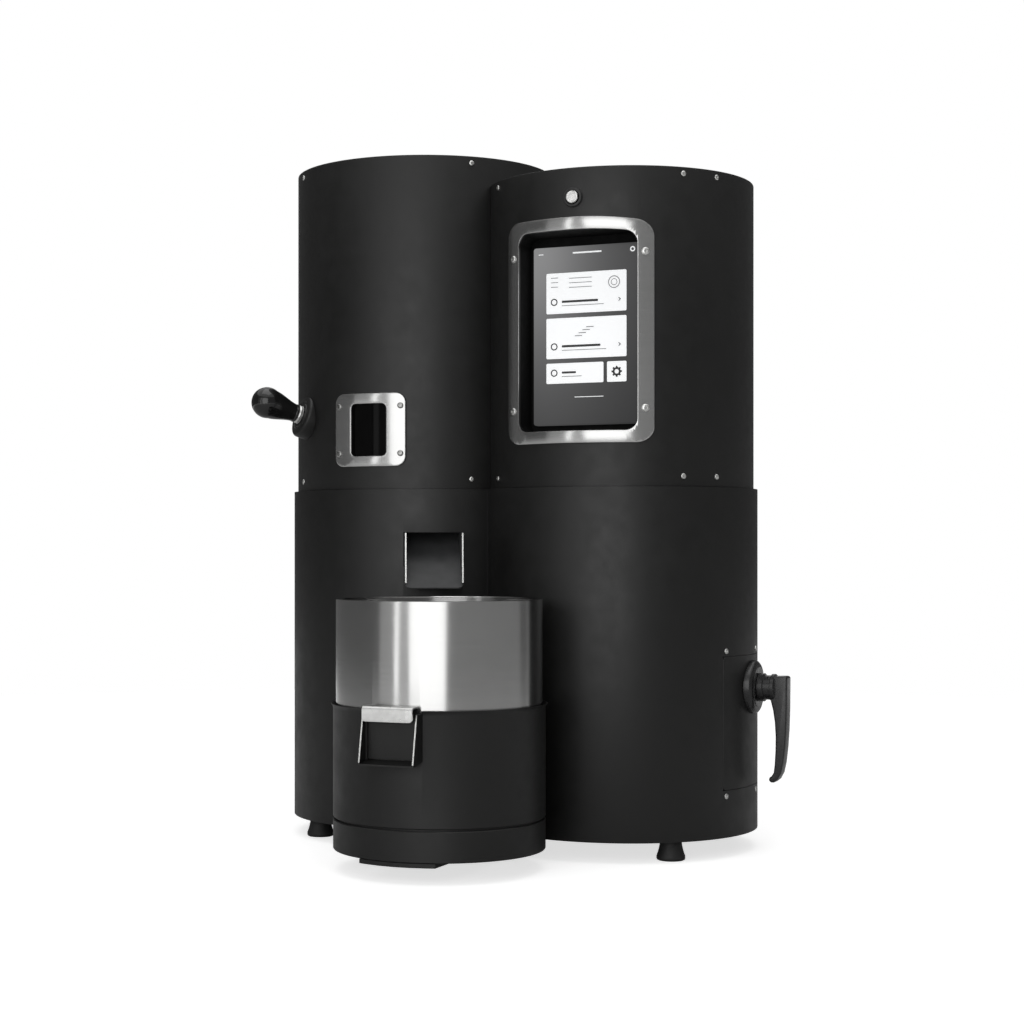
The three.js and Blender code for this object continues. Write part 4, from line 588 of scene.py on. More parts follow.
def makeLowerCasing():
    low, high, outer = towers["foot"], towers["seam"], towers["lowerRadius"]
    inner = outer - towers["wall"]
    left, right = axes["left"], axes["right"]
    half, side = towers["chuteHalf"], towers["serviceHalf"]
    chuteHole = block((-half, -outer - over, towers["chuteLow"]), (half, -inner + 2 * over, towers["chuteHigh"]))
    service = block((left[0] - side, left[1] + 0.12, towers["serviceLow"]),
                    (left[0] + side, left[1] + 0.15, towers["serviceHigh"]))
    cutters = [drum(inner, low - over, high + over, left), drum(inner, low - over, high + over, right),
               turned(chuteHole, left, towers["chuteTurn"]), service, doorWedge(),
               *backSlots("left", outer, towers["lowerSlots"]), *backSlots("right", outer, towers["lowerSlots"])]
    shell = carve(drum(outer, low, high, left), cutters, [drum(outer, low, high, right)])
    softenLevels(shell, (low, high), towers["rim"])
    piece("lowerCasing", shell, blackPaint, "lower_casing")


def makeUpperCasing(tower, top, cutters):
    low, outer, centre = towers["seam"] + towers["gap"], towers["upperRadius"], axes[tower]
    space = drum(outer - towers["wall"], low - over, top + over, centre)
    shell = carve(drum(outer, low, top, centre), [space, *cutters])
    softenLevels(shell, (top,), towers["rim"])
    piece(tower + "Casing", shell, blackPaint, "upper_casing_" + tower)


def makeUpperCasings():
    makeUpperCasing("left", towers["leftTop"], [
        opening(window["open"], 0.04, "left"),
        onWall(drum(towers["trierHole"], -0.03, 0.03, segments=48), "left", *towers["trierSpot"])])
    makeUpperCasing("right", towers["rightTop"], [
        opening(tray["open"], 0.06, "right"),
        onWall(drum(towers["buttonHole"], -0.02, 0.02, segments=48), "right", 0, towers["buttonUp"]),
        onWall(drum(towers["collarHole"], -0.03, 0.03, segments=96), "right", 180, towers["collarUp"]),
        drum(towers["upperRadius"] + towers["gap"], towers["seam"] + towers["gap"] - over, towers["rightTop"] + over,
             axes["left"]),
        *backSlots("right", towers["upperRadius"], towers["upperSlots"])])


makeLowerCasing()
makeUpperCasings()
print("casings made")


def curvedFrame(name, sizes, tower, material, node):
    # a flat frame with a rounded edge, whose top falls towards its right end, pressed onto the tower
    form = soften(framePlate(sizes["outer"], sizes["open"], sizes["thick"]), sizes["edge"])
    strips(form, 0.002)
    half, low, high, _ = sizes["outer"]
    middle = (low + high) / 2
    for vert in form.verts:
        if vert.co.x > 0 and vert.co.z > middle:
            share = (vert.co.z - middle) / (high - middle)
            vert.co.z -= sizes["bow"] * share * (vert.co.x / half) ** 2
    drape(form, axes[tower], towers["upperRadius"] + towers["gap"] + sizes["thick"])
    piece(name, form, material, node)


curvedFrame("windowFrame", window, "left", leftSteel, "window_frame")
curvedFrame("displayBezel", bezel, "right", rightSteel, "display_bezel")

tablet = {"outer": (0.0555, 0.424, 0.600, 0.0026), "front": 0.0995, "thick": 0.009, "edge": 0.0011}
glow = {"peak": 0.25, "reach": 0.0586, "fall": 0.55}
# bars and cards in millimetres, as left, low, right, high; rings as across, up, outer, inner
marks = {
    "thick": 0.00025, "ink": 0.0002,
    "cards": [(-41.7, 534, 41.7, 574), (-41.7, 489.5, 41.7, 529.5), (-41.7, 465, 18, 485), (21.7, 465, 41.7, 485)],
    "labels": [(-25.5, 544.5, 12.5, 546.8), (-25.5, 500.5, 15, 502.8), (-25.5, 474.7, -10.5, 476.8)],
    "labelRings": [(-33.5, 545.5, 3.6, 2.4), (-33.5, 501.5, 3.6, 2.4), (-33.5, 475.5, 3.6, 2.4)],
    "listUp": (569, 564.5, 560), "dial": [(29, 562.5, 6.2, 5.2), (29, 562.5, 3.4, 2.6)],
    "stairUp": (511, 513.8, 516.6, 519.4), "arrows": (545.5, 501.5), "gear": (31.7, 475, 4.2, 2.2), "teeth": 8,
    "title": (-14, 592.5, 16, 594), "titleRing": (48, 593.5, 2.6, 1.4),
    "footLine": (-12, 451, 18, 451.6), "titleDash": (-50, 592.8, -45, 593.6),
}


def onScreen(form, lift):
    return shift(form, axes["right"][0], axes["right"][1] - tablet["front"] - lift)


def bar(sizes, thick, corner=0.0):
    left, low, right, high = (v / 1000 for v in sizes)
    return plate((right - left) / 2, low, high, corner, thick, 4, (left + right) / 2)


def ring(sizes, thick):
    x, z, outer, inner = (v / 1000 for v in sizes)
    form = bmesh.new()
    form.edges.new([form.verts.new((x + out, 0, z)) for out in (inner, outer)])
    spin(form, 360, 32, (x, 0, z), (0, 1, 0), True)
    return thicken(closeUp(form), y=thick)


def lightScreen():
    # the screen's grey background is brightest at its upper left corner
    tree = screenGlass.node_tree
    half, _, high, _ = tablet["outer"]
    corner = (axes["right"][0] - half, axes["right"][1] - tablet["front"], high)
    away = objectSpace(tree, (1, 1, 1 / glow["fall"]), corner)
    light = add(tree, "VectorMath", "Value", {0: away}, operation="LENGTH")
    for operation, amount in (("POWER", 2), ("MULTIPLY", 1 / glow["reach"] ** 2), ("ADD", 1), ("POWER", -1),
                              ("MULTIPLY", glow["peak"])):
        light = reckon(tree, operation, light, amount)
    fill(tree, tree.nodes["Principled BSDF"].inputs, {"Emission Color": (1, 1, 1.01, 1), "Emission Strength": light})


def makeTablet():
    shell = soften(plate(*tablet["outer"], tablet["thick"]), tablet["edge"], 3)
    piece("touchTablet", onScreen(shell, 0), screenGlass, "touch_display")


def makeScreenMarks():
    # plain cards, bars and rings stand for the menu
    thick, ink = marks["thick"], marks["ink"]
    white = [bar(sizes, thick, 0.0012) for sizes in marks["cards"]]
    dark, soft = [], []
    for left, low, right, high in marks["labels"]:
        dark.append(bar((left, low, right, high), ink, 0.0009))
        soft.append(bar((left, low - 3.2, right + 6, low - 2.4), ink, 0.0003))
    dark += [ring(sizes, ink) for sizes in marks["labelRings"]]
    for up in marks["listUp"]:
        soft += [bar((-37, up, -29, up + 0.8), ink, 0.0003), bar((-18, up - 1, 6, up - 0.2), ink, 0.0003)]
    soft += [ring(sizes, ink) for sizes in marks["dial"]]
    soft += [bar((4 * k - 12, up, 4 * k - 4, up + 1), ink, 0.0004) for k, up in enumerate(marks["stairUp"])]
    for up in marks["arrows"]:
        for tilt in (-40, 40):
            stroke = rotate(bar((0, -0.4, 2.6, 0.4), ink, 0.0002), tilt, "Y", (0.0026, 0, 0))
            dark.append(shift(stroke, 0.033, 0, up / 1000))
    dark.append(ring(marks["gear"], ink))
    for k in range(marks["teeth"]):
        tooth = rotate(bar((-0.9, 3.8, 0.9, 5.4), ink, 0.0002), 360 / marks["teeth"] * k, "Y")
        dark.append(shift(tooth, marks["gear"][0] / 1000, 0, marks["gear"][1] / 1000))
    pale = [bar(marks["title"], ink, 0.0006), ring(marks["titleRing"], ink), bar(marks["footLine"], ink, 0.0002),
            bar(marks["titleDash"], ink, 0.0003)]
    # each layer starts just under the one it lies on, so nothing floats
    for name, forms, lift, material in (("menuCards", white, thick * 0.8, cardWhite),
                                        ("menuMarks", dark, thick * 1.4, markDark),
                                        ("menuLines", soft, thick * 1.4, markSoft),
                                        ("menuTitle", pale, ink * 0.8, cardWhite)):
        piece(name, onScreen(gather(forms), lift), material)


makeTablet()
lightScreen()
makeScreenMarks()

button = {
    "cap": mm((0, -4), (6.2, -4), (6.2, 4), (5.6, 4.8), (4, 5), (0, 4.4)),
    "ring": mm((6.7, -6), (8.2, -6), (8.2, 0.4), (9.5, 0.4), (9.5, 1.4), (8.8, 2.4), (7.2, 2.6), (6.6, 2)),
}


def makeButton():
    cap = onWall(spun(button["cap"], steps=48, closed=False), "right", 0, towers["buttonUp"])
    piece("powerButton", cap, buttonSteel, "power_button", body="power_button")
    collar = onWall(spun(button["ring"], steps=64), "right", 0, towers["buttonUp"])
    piece("buttonRing", collar, satinPlastic, "button_collar")


makeButton()
print("window, display and button made")

# the cooling bin; its sizes are out from the bin's own axis
cooler = {
    "radius": 0.1005, "lip": 0.0025, "wall": 0.0015, "foot": 0.020, "panTop": 0.0485, "bucketLow": 0.0503,
    "bucketTop": 0.157, "potRadius": 0.098, "potLow": 0.1025, "potTop": 0.255,
    "panSlots": 7, "slotStep": 10, "slotHalf": 0.0025, "slotLow": 0.026, "slotHigh": 0.0425,
    "portHalf": 0.024, "portLow": 0.110, "portHigh": 0.147, "cheekInner": 0.026, "cheekOuter": 0.0275,
    "cheekLow": 0.109, "cheekHigh": 0.1545, "topOut": 0.0077, "bottomOut": 0.0157,
    "gripHalf": 0.0252, "gripLow": 0.147, "gripHigh": 0.161, "gripDepth": 0.013, "gripCorner": 0.0038,
}
sieve = {"low": 0.1043, "high": 0.1055, "radius": 0.0962, "ring": 0.0860, "pitch": 0.0056, "hole": 0.0016, "sides": 12}


def binPiece(name, form, material, node=None, body="bin"):
    piece(name, shift(form, *axes["bin"]), material, node, body)


def makeBin():
    r, wall, p = cooler["radius"], cooler["wall"], cooler["potRadius"]
    foot, panTop, half = cooler["foot"], cooler["panTop"], cooler["slotHalf"]
    top, low, lip = cooler["bucketTop"], cooler["bucketLow"], cooler["radius"] + cooler["lip"]
    # the pan under the groove is open underneath and has cooling slots round its back
    pan = spun([*near(r, foot, (-1.5, 0), (-0.6, 0), (0, 0.8)), *near(r, panTop, (0, -0.8), (-0.8, 0), (-3, 0)),
                *near(r, low, (-3, -0.3), (-18, -0.3)), *near(r, panTop, (-18, -1.5), (-1.5, -1.5))], steps=192)
    slots = []
    for k in range(cooler["panSlots"]):
        slot = block((-half, -r - 0.01, cooler["slotLow"]), (half, -r + 0.006, cooler["slotHigh"]))
        slots.append(turned(slot, (0, 0), 180 + (k - (cooler["panSlots"] - 1) / 2 + 0.5) * cooler["slotStep"]))
    binPiece("binPan", carve(pan, slots), blackPaint, "bin_base")
    bucket = spun([(0.070, low), *near(r, low, (-0.8, 0), (0, 0.8)), *near(r, top, (0, -4.5), (0.6, -2.2)),
                   *near(lip, top, (-0.3, -0.4), (-0.9, 0), (-1.6, -0.2)), *near(r, top, (-1.2, -3), (-1.5, -5.5)),
                   (r - wall, low + wall), (0.070, low + wall)], steps=192)
    # the lip is straight behind the grip, so that the gate can slide up
    ends = [block((0.027, -3 * r, 0), (3 * r, 3 * r, 1)), block((-3 * r, -3 * r, 0), (-0.027, 3 * r, 1)),
            block((-3 * r, 0, 0), (3 * r, 3 * r, 1))]
    notch = spun([(r, top - 0.0045), (2 * r, top - 0.0045), (2 * r, top + over), (r, top + over)], steps=192)
    binPiece("binBucket", carve(bucket, [port(), carve(notch, ends)]), blackPaint, "bin_bucket")
    low, rim = cooler["potLow"], cooler["potTop"]
    pot = spun([*near(p, low, (-7.5, 0), (-0.4, 0), (0, 0.6)),
                *near(p, rim, (0, -1.2), (-0.3, -0.3), (-1, 0), (-2.3, 0), (-2.9, -0.4), (-3, -1.2), (-2.6, -1.7),
                      (-1.5, -1.9)),
                *near(p, low, (-1.5, 1.5), (-7.5, 1.5))], steps=192)
    binPiece("coolingPot", carve(pot, [port()]), potSteel, "cooling_pot")


def port():
    half, r = cooler["portHalf"], cooler["radius"]
    return block((-half, -2 * r, cooler["portLow"]), (half, -r / 2, cooler["portHigh"]))


def glintStrips(edge, inner, outer):
    # bright steel strips on the front edges of two cheeks, painted highlights standing in for the glints along those
    # edges
    trims = []
    for sign in (-1, 1):
        left, right = sorted((sign * (inner + 0.0001), sign * (outer - 0.0001)))
        trims.append(sideShape(edge, left, right))
    return gather(trims)


def makeSpout():
    r, wall, inward = cooler["radius"], cooler["wall"], cooler["radius"] - 0.012
    inner, outer, low, high = cooler["cheekInner"], cooler["cheekOuter"], cooler["cheekLow"], cooler["cheekHigh"]
    bottom, top = r + cooler["bottomOut"], r + cooler["topOut"]
    side = [(inward, low + 0.006), (bottom, low), (top, high), (inward, high)]
    floor = [(inward, low + 0.006), (bottom, low), (bottom, low - wall), (inward, low + 0.0045)]
    joined = [sideShape(side, inner, outer), sideShape(floor, -outer, outer)]
    for sign in (-1, 1):
        left, right = sorted((sign * (inner - 0.002), sign * outer))
        joined.append(block((left, -r - 0.0042, low + 0.003), (right, -r - 0.0027, high)))
    cutters = [drum(r + 0.0003, low - 0.012, high + over),
               block((-inner, -r - 0.0027, low + 0.003), (inner, 0, high + over))]
    spout = carve(sideShape(side, -outer, -inner), cutters, joined)
    binPiece("binSpout", spout, blackPaint, "bin_spout")
    # the spout cheeks' front edges get bright steel strips, painted highlights
    edge = [(bottom - 0.0002, low + 0.001), (bottom + 0.0003, low + 0.001), (top + 0.0003, high - 0.0006),
            (top - 0.0002, high - 0.0006)]
    binPiece("cheekEdgeGlints", glintStrips(edge, inner, outer), screwSteel)


def makeGate():
    wall, inward = cooler["wall"], cooler["radius"] + 0.0006
    top, low, out = cooler["gripHigh"], cooler["gripLow"], inward + cooler["gripDepth"]
    sheet = plate(cooler["cheekInner"] - 0.0003, cooler["cheekLow"] + 0.0033, top - 0.0016, 0.0008, wall)
    binPiece("gatePlate", shift(soften(sheet, 0.0003, 1), y=-inward - wall), blackPaint, body="bin_gate")
    # the grip is a strip folded forwards and down, with rounded ends
    fold = [(inward, top - wall), (inward, top),
            *near(out, top, (-3.4, 0), (-1.7, -0.5), (-0.5, -1.7), (0, -3.4)), (out, low),
            (out - wall, low), *near(out, top, (-1.5, -3.6), (-2.4, -2.1), (-3.6, -1.5))]
    grip = sideShape(fold, -cooler["gripHalf"], cooler["gripHalf"])
    corners = [e for e in grip.edges if abs(e.verts[0].co.y - e.verts[1].co.y) > 0.0012
               and abs(e.verts[0].co.z - e.verts[1].co.z) < 1e-5 and max(v.co.z for v in e.verts) < low + 1e-4]
    soften(bevel(grip, corners, cooler["gripCorner"], 5), 0.0003, 1)
    binPiece("gateGrip", grip, gripSteel, "bin_gate", body="bin_gate")


def makeSieve():
    # hexagonal cells, each with a round hole, laid side by side inside a plain rim
    pitch, sides, hole, ringOut = sieve["pitch"], sieve["sides"], sieve["hole"], sieve["ring"]
    low, high, rise = sieve["low"], sieve["high"], sieve["pitch"] * math.sqrt(0.75)
    form = bmesh.new()
    rows = int(ringOut / rise) + 1
    for row in range(-rows, rows + 1):
        for step in range(-rows - 1, rows + 2):
            x, y = (step + (row % 2) / 2) * pitch, row * rise
            if math.hypot(x, y) > ringOut - pitch * 0.1:
                continue
            inner, outer = [], []
            for k in range(sides):
                angle = math.tau * k / sides
                reach = pitch / 2 / (math.cos(math.pi / 6) if k % 2 else 1)
                for spots, out in ((inner, hole), (outer, reach)):
                    spots.append(form.verts.new((x + out * math.cos(angle), y + out * math.sin(angle), 0)))
            for k in range(sides):
                form.faces.new((inner[k - 1], outer[k - 1], outer[k], inner[k]))
    bmesh.ops.remove_doubles(form, verts=form.verts[:], dist=1e-5)
    thicken(shift(form, z=low + 0.0002), z=high - low - 0.0004)
    rimIn = ringOut - pitch / 2
    rim = spun([(rimIn, low), (sieve["radius"], low), (sieve["radius"], high), (rimIn, high)])
    binPiece("potSieve", gather([form, rim]), innerSteel, "bin_sieve")


makeBin()
makeSpout()
makeGate()
makeSieve()
print("cooling bin made")

chute = {
    "half": 0.029, "inner": 0.052, "outer": 0.084, "top": 0.386, "slopeTop": 0.358, "lip": 0.169, "lipHeight": 0.2615,
    "cheekOut": 0.165, "cheekTop": 0.318, "cheekLow": 0.2683, "roofOut": 0.131, "wall": 0.0015, "railLength": 0.0595,
    "tongueCorner": 0.0055, "glintInset": 0.0005,
}


def makeChute():
    half, wall, glintInset, inner, outer = (chute[k] for k in ("half", "wall", "glintInset", "inner", "outer"))
    top, slopeTop, lip, lipUp = (chute[k] for k in ("top", "slopeTop", "lip", "lipHeight"))
    cheekOut, cheekTop, roofOut = chute["cheekOut"], chute["cheekTop"], chute["roofOut"]
    slope = (slopeTop - lipUp) / (lip - inner)
    rise = wall * math.hypot(1, slope)
    roofLow = cheekTop + (roofOut - outer) * slope
    # the chute's walls stop short of the cheek edges by the width of the painted highlight strips
    shell = [(inner, top), (inner, slopeTop), (lip - glintInset, lipUp + glintInset * slope), (cheekOut - glintInset, cheekTop),
             (roofOut, cheekTop), (outer, roofLow), (outer, top)]
    hollow = [(inner + wall, top + over), (inner + wall, slopeTop + rise - wall * slope),
              (lip + over, lipUp + rise - over * slope), (lip + over, cheekTop + over),
              (roofOut + over, cheekTop + over),
              (roofOut - wall, cheekTop), (outer - wall, roofLow - wall), (outer - wall, top + over)]
    # a tongue with rounded corners ends the floor, below the cheeks
    down = math.atan2(lip - inner, slopeTop - lipUp)
    tongue = rotate(plate(half - 0.0002, 0.0014, 0.030, chute["tongueCorner"], wall), -math.degrees(down), "X")
    shift(tongue, 0, -lip - wall * math.cos(down), lipUp + wall * math.sin(down))
    rails = []
    for sign in (-1, 1):
        left, right = sorted((sign * half, sign * (half - 3 * wall)))
        rails.append(block((left, -outer, top - wall), (right, -outer + chute["railLength"], top)))
    nose = block((-half - over, -0.18, 0.25), (half + over, -0.1642, chute["cheekLow"] - 0.0001))
    trough = carve(sideShape(shell, -half, half), [sideShape(hollow, wall - half, half - wall), nose])
    whole = turned(carve(trough, [], [tongue, *rails]), axes["left"], towers["chuteTurn"])
    # the chute wears the lightened black, painted light for its shaded inside
    piece("dischargeChute", whole, chuteLightenedPaint, "discharge_chute")
    # bright steel strips on the chute cheeks' front edges, painted highlights
    low = chute["cheekLow"]
    outLow = lip + (cheekOut - lip) * (low - lipUp) / (cheekTop - lipUp)
    edge = [(outLow - 0.0009, low), (outLow, low),
            (cheekOut, cheekTop - 0.0004), (cheekOut - 0.0009, cheekTop - 0.0004)]
    trims = turned(glintStrips(edge, half - wall, half), axes["left"], towers["chuteTurn"])
    piece("chuteEdgeGlints", trims, screwSteel)


trier = {
    "plate": 0.0225, "plateOut": 0.007, "tube": 0.010, "tubeEnd": -0.0483, "bore": 0.0072,
    "ferrule": 0.0095, "ferruleLow": 0.0073, "ferruleHigh": 0.0116, "handleLow": 0.0119, "neck": 0.0095,
    "ball": 0.0162, "ballStart": -20, "length": 0.0502, "shank": 0.0065, "tip": -0.094, "solid": -0.018,
}


def atTrier(form):
    return onWall(form, "left", *towers["trierSpot"])


def makeTrierGuide():
    edge, out, bore, tube, end = (trier[k] for k in ("plate", "plateOut", "bore", "tube", "tubeEnd"))
    guide = spun([(bore, end), (tube, end), (tube, -0.012), (edge, -0.012),
                  *near(edge, out, (0, -3), (-0.4, -1.8), (-1.3, -0.8), (-2.6, -0.4)),
                  *near(0, out, (15.2, 0), (14.6, -0.6), (12.8, -0.6), (12.2, 0)),
                  *near(bore, out, (0.8, 0), (0, -0.6))], steps=72)
    # the wall's space is left whole only where the tube runs through it
    space = drum(towers["upperRadius"] + 0.0003, 0.36, 0.52, axes["left"])
    wallSpace = carve(space, [atTrier(drum(0.012, -0.08, -0.001, segments=64))])
    piece("trierGuide", carve(atTrier(guide), [wallSpace]), blackPaint, "trier_guide")


def makeTrier():
    low, high, r, bore = trier["ferruleLow"], trier["ferruleHigh"], trier["ferrule"], trier["bore"]
    points = [(bore, low), (r - 0.0004, low), (r, low + 0.0004)]
    for groove in (low + 0.0009, low + 0.0023):
        points += [(r, groove), (r - 0.0004, groove + 0.0003), (r - 0.0004, groove + 0.0006), (r, groove + 0.0009)]
    points += [(r, high - 0.0012), (r - 0.0009, high), (bore, high)]
    piece("trierFerrule", atTrier(spun(points, steps=72)), gripSteel, "trier_ferrule", body="trier_slide")
    # a neck ring, a swelling shaft and a ball, in one smooth line
    low, neck, ball = trier["handleLow"], trier["neck"], trier["ball"]
    middle = low + trier["length"] - ball
    points = [(0, low), (neck - 0.0006, low), (neck, low + 0.0006), (neck, low + 0.0022)]
    start, begin = (neck - 0.0004, low + 0.0030), math.radians(trier["ballStart"])
    finish = (ball * math.cos(begin), middle + ball * math.sin(begin))
    for k in range(11):
        share = k / 10
        ease = 0.45 * share + 0.55 * share * share * (3 - 2 * share)
        points.append((start[0] + (finish[0] - start[0]) * ease, start[1] + (finish[1] - start[1]) * share))
    for k in range(1, 20):
        angle = begin + (math.pi / 2 - begin) * k / 20
        points.append((ball * math.cos(angle), middle + ball * math.sin(angle)))
    handle = atTrier(spun(points + [(0, middle + ball)], steps=72, closed=False))
    piece("trierHandle", handle, glossPlastic, "trier_handle", body="trier")
    shank, tip, solid = trier["shank"], trier["tip"], trier["solid"]
    trough = spun([(0, tip), *near(shank, tip, (-1.6, 0), (-0.5, 0.4), (0, 1.4)), (shank, 0.0172), (0, 0.0172)],
                  steps=64, closed=False)
    hollow = spun([*near(0, tip, (0, 1.5), (3.6, 1.5), (5, 2.9)), (0.005, solid), (0, solid)],
                  steps=64, closed=False)
    openSide = block((-0.0125, 0, tip + 0.0016), (0.0125, 0.0125, solid))
    scoop = atTrier(carve(trough, [hollow, openSide]))
    piece("trierScoop", scoop, innerSteel, "trier_scoop", body="trier")


makeChute()
makeTrierGuide()
makeTrier()
print("chute and trier made")

latch = {
    "height": 0.164, "plate": 0.0265, "plateOut": 0.007, "shaft": 0.005, "bore": 0.0053, "reach": 0.037, "half": 0.0081,
    "bevel": 0.0016,
    # the lever's outline: in from its outer face, and down from its shaft
    "lever": mm((20.5, -11.5), (3, -11.8), (1.2, -11.3), (0.2, -9.8), (0.2, -8), (0.4, 20), (1, 40), (2.2, 58), (4, 74),
                (6.2, 84), (9.6, 90.5), (13.5, 93.6), (16.2, 93.7), (18, 92.5), (18.6, 90.6), (18, 88.8), (15.8, 87.2),
                (13.8, 83.8), (12.8, 76), (12, 62), (11.8, 48), (12.6, 34), (14.4, 22), (16.8, 12.5), (20.5, 8.5)),
}
door = {"low": 0.0663, "high": 0.1967, "thick": 0.002, "corner": 0.004, "gap": 0.0003, "edge": 0.0005}


def atLatch(form):
    return stand(layForward(form), axes["right"], 0, 90, latch["height"])


def makeLatch():
    wall, edge, bore = towers["lowerRadius"], latch["plate"], latch["bore"]
    face = wall + latch["plateOut"]
    disc = spun([(bore, wall - over), (edge, wall - over),
                 *near(edge, face, (0, -4.2), (-0.7, -2.6), (-2.2, -1.4), (-4.5, -0.8), (-6.2, -0.6), (-6.6, 0)),
                 (bore, face)], steps=96)
    seated = carve(atLatch(disc), [drum(wall + 0.0003, 0.12, 0.21, axes["right"])])
    piece("latchPlate", seated, blackPlastic, "latch_escutcheon", body="drawer")
    # a stepped hub, its shaft through the door, and the hooked lever
    low, out = face + 0.0003, wall + latch["reach"]
    root = out - 0.0150
    hub = spun([*near(0, low, (0, 0), (13.8, 0), (14, 0.2), (14, 5.2), (13.4, 5.8), (12.2, 5.8)),
                *near(0, root, (12.2, -2.2), (13.2, -2), (13.6, -1.5), (13.6, 1.5), (13, 2.1), (0, 2.1))],
                steps=72, closed=False)
    whole = atLatch(carve(hub, [], [drum(latch["shaft"], 0.126, low + 0.001, segments=48)]))
    line = [(out - into, latch["height"] - down) for into, down in latch["lever"]]
    lever = sideShape(line, -latch["half"], latch["half"])
    bevel(lever, [e for e in lever.edges if abs(e.calc_face_angle(0)) > 1.2], latch["bevel"], 4)
    turned(lever, axes["right"], 90)
    piece("latchLever", carve(whole, [], [lever]), blackPlastic, "latch_handle", body="latch")


def makeDoor():
    outer = towers["lowerRadius"]
    half = math.radians(towers["doorHalf"]) * outer - door["gap"]
    flat = strips(plate(half, door["low"], door["high"], door["corner"], door["thick"]), 0.0025)
    wrap(soften(flat, door["edge"], 1), axes["right"], outer, 90)
    bored = carve(flat, [atLatch(drum(latch["bore"], 0.10, 0.18, segments=48))])
    piece("chaffDoor", bored, blackPaint, "chaff_door", body="drawer")


makeLatch()
makeDoor()
print("latch and door made")

# radius and dome of the heads, then groups of tower, radius, turns and heights
screws = {
    "wallScrews": ((0.0027, 0.0011), screwSteel, [("left", 0.136, (-45, 45, 135, -135), (0.691, 0.372)),
                                                  ("right", 0.136, (-44, 46, 63, 135, 225), (0.6635, 0.372)),
                                                  ("right", 0.140, (67, 96), (0.202, 0.0605))]),
    "windowScrews": ((0.0031, 0.0013), frameScrewSteel, [("left", 0.1388, (-14.4, 14.4), (0.398, 0.446))]),
    "bezelScrews": ((0.0037, 0.0015), screwSteel, [("right", 0.1393, (-29.4, 29.4), (0.437, 0.587))]),
}


def screwForm(r, dome):
    # a round head with a socket
    points = [(0, -0.0012), (r, -0.0012), (r, dome * 0.25)]
    for k in range(1, 6):
        angle = math.radians(18 * k)
        points.append((r * math.cos(angle) if k < 5 else r * 0.48, dome * (0.25 + 0.75 * math.sin(angle))))
    points += [(r * 0.41, dome - 0.0001), (r * 0.41, dome - 0.0009), (0, dome - 0.0009)]
    return layForward(spun(points, steps=36, closed=False))


for name, (size, material, groups) in screws.items():
    heads = [stand(screwForm(*size), axes[tower], radius, turn, height)
             for tower, radius, turns, heights in groups for height in heights for turn in turns]
    piece(name, gather(heads), material)
print("screws made")

feet = {
    "reach": 0.118, "turn": 44,
    "outline": mm((0, 0), (12.2, 0), (13.4, 0.6), (14, 1.8), (13.9, 4.4), (13, 6.6), (11.7, 11), (10.9, 15), (10.4, 19),
                  (9.9, 19.7), (0, 19.7)),
}
tops = {"plate": 0.002, "rim": 0.010, "hole": 0.058, "vents": 5, "ventPitch": 0.018, "ventLong": 0.040,
        "ventHalf": 0.003, "ventX": 0.020}


def makeFeet():
    turn = math.radians(feet["turn"])
    for tower, across in (("left", -1), ("right", 1)):
        for end, back in (("front", -1), ("rear", 1)):
            centre = (axes[tower][0] + across * feet["reach"] * math.sin(turn),
                      axes[tower][1] + back * feet["reach"] * math.cos(turn))
            form = spun(feet["outline"], centre, 72, False)
            piece("foot" + end.title() + tower.title(), form, blackRubber, "foot_%s_%s" % (end, tower))


def makeTop(tower, cutters):
    radius = towers["upperRadius"] - towers["wall"] - towers["gap"]
    high = towers[tower + "Top"] - tops["rim"]
    whole = carve(drum(radius, high - tops["plate"], high, axes[tower]), [shift(cutter, z=high) for cutter in cutters])
    piece(tower + "TopPlate", whole, blackPaint, "top_plate_" + tower, smooth=20)


def makeTops():
    makeTop("left", [drum(tops["hole"], -over, over, axes["left"])])
    half, vents = tops["ventHalf"], []
    for k in range(tops["vents"]):
        vent = rotate(plate(tops["ventLong"], -half, half, half * 0.98, 0.02), -90, "X")
        vents.append(shift(vent, axes["right"][0] + tops["ventX"],
                           axes["right"][1] + (k - (tops["vents"] - 1) / 2) * tops["ventPitch"], over))
    makeTop("right", [*vents, drum(towers["upperRadius"] + towers["gap"], -over, over, axes["left"])])


makeFeet()
makeTops()

lid = {
    "low": 0.6906, "high": 0.6946, "foot": 0.6883, "out": 0.074, "pin": 0.0025, "bore": 0.0028, "barrel": 0.005,
    "half": 0.022, "lug": 0.008, "armIn": 0.031,
    "hopper": mm((63.7, 688.3), (64, 688.7), (64, 689.9), (63.7, 690.3), (55.8, 690.3), (55, 689.9), (54.5, 689.1),
                 (22.5, 640), (22.5, 561), (24, 561), (24, 638.5), (56, 688.3)),
    "disc": mm((0, 690.6), (61.2, 690.6), (62, 691.3), (62, 693.6), (61.3, 694.4), (59, 694.6), (57.8, 694.3),
               (56.8, 693.9), (0, 693.9)),
    "knob": mm((0, 693), (5.5, 693), (5.5, 695.2), (4.9, 696.4), (4.8, 699.2), (5.6, 701), (8.5, 702.6), (10.4, 704),
               (11, 705.6), (11, 707.5), (10.4, 709.5), (8.8, 711.2), (6, 712.2), (2.5, 712.6), (0, 712.6)),
}


def acrossBar(radius, left, right, up):
    # a round bar along X behind the left tower's axis, at the hinge
    form = drum(radius, left, right, segments=48)
    place = Matrix.Translation((axes["left"][0], axes["left"][1] + lid["out"], up))
    place = place @ Matrix.Rotation(math.pi / 2, 4, "Y")
    bmesh.ops.transform(form, matrix=place, verts=form.verts[:])
    return form


def byLeft(low, high):
    x, y = axes["left"]
    return block((x + low[0], y + low[1], low[2]), (x + high[0], y + high[1], high[2]))


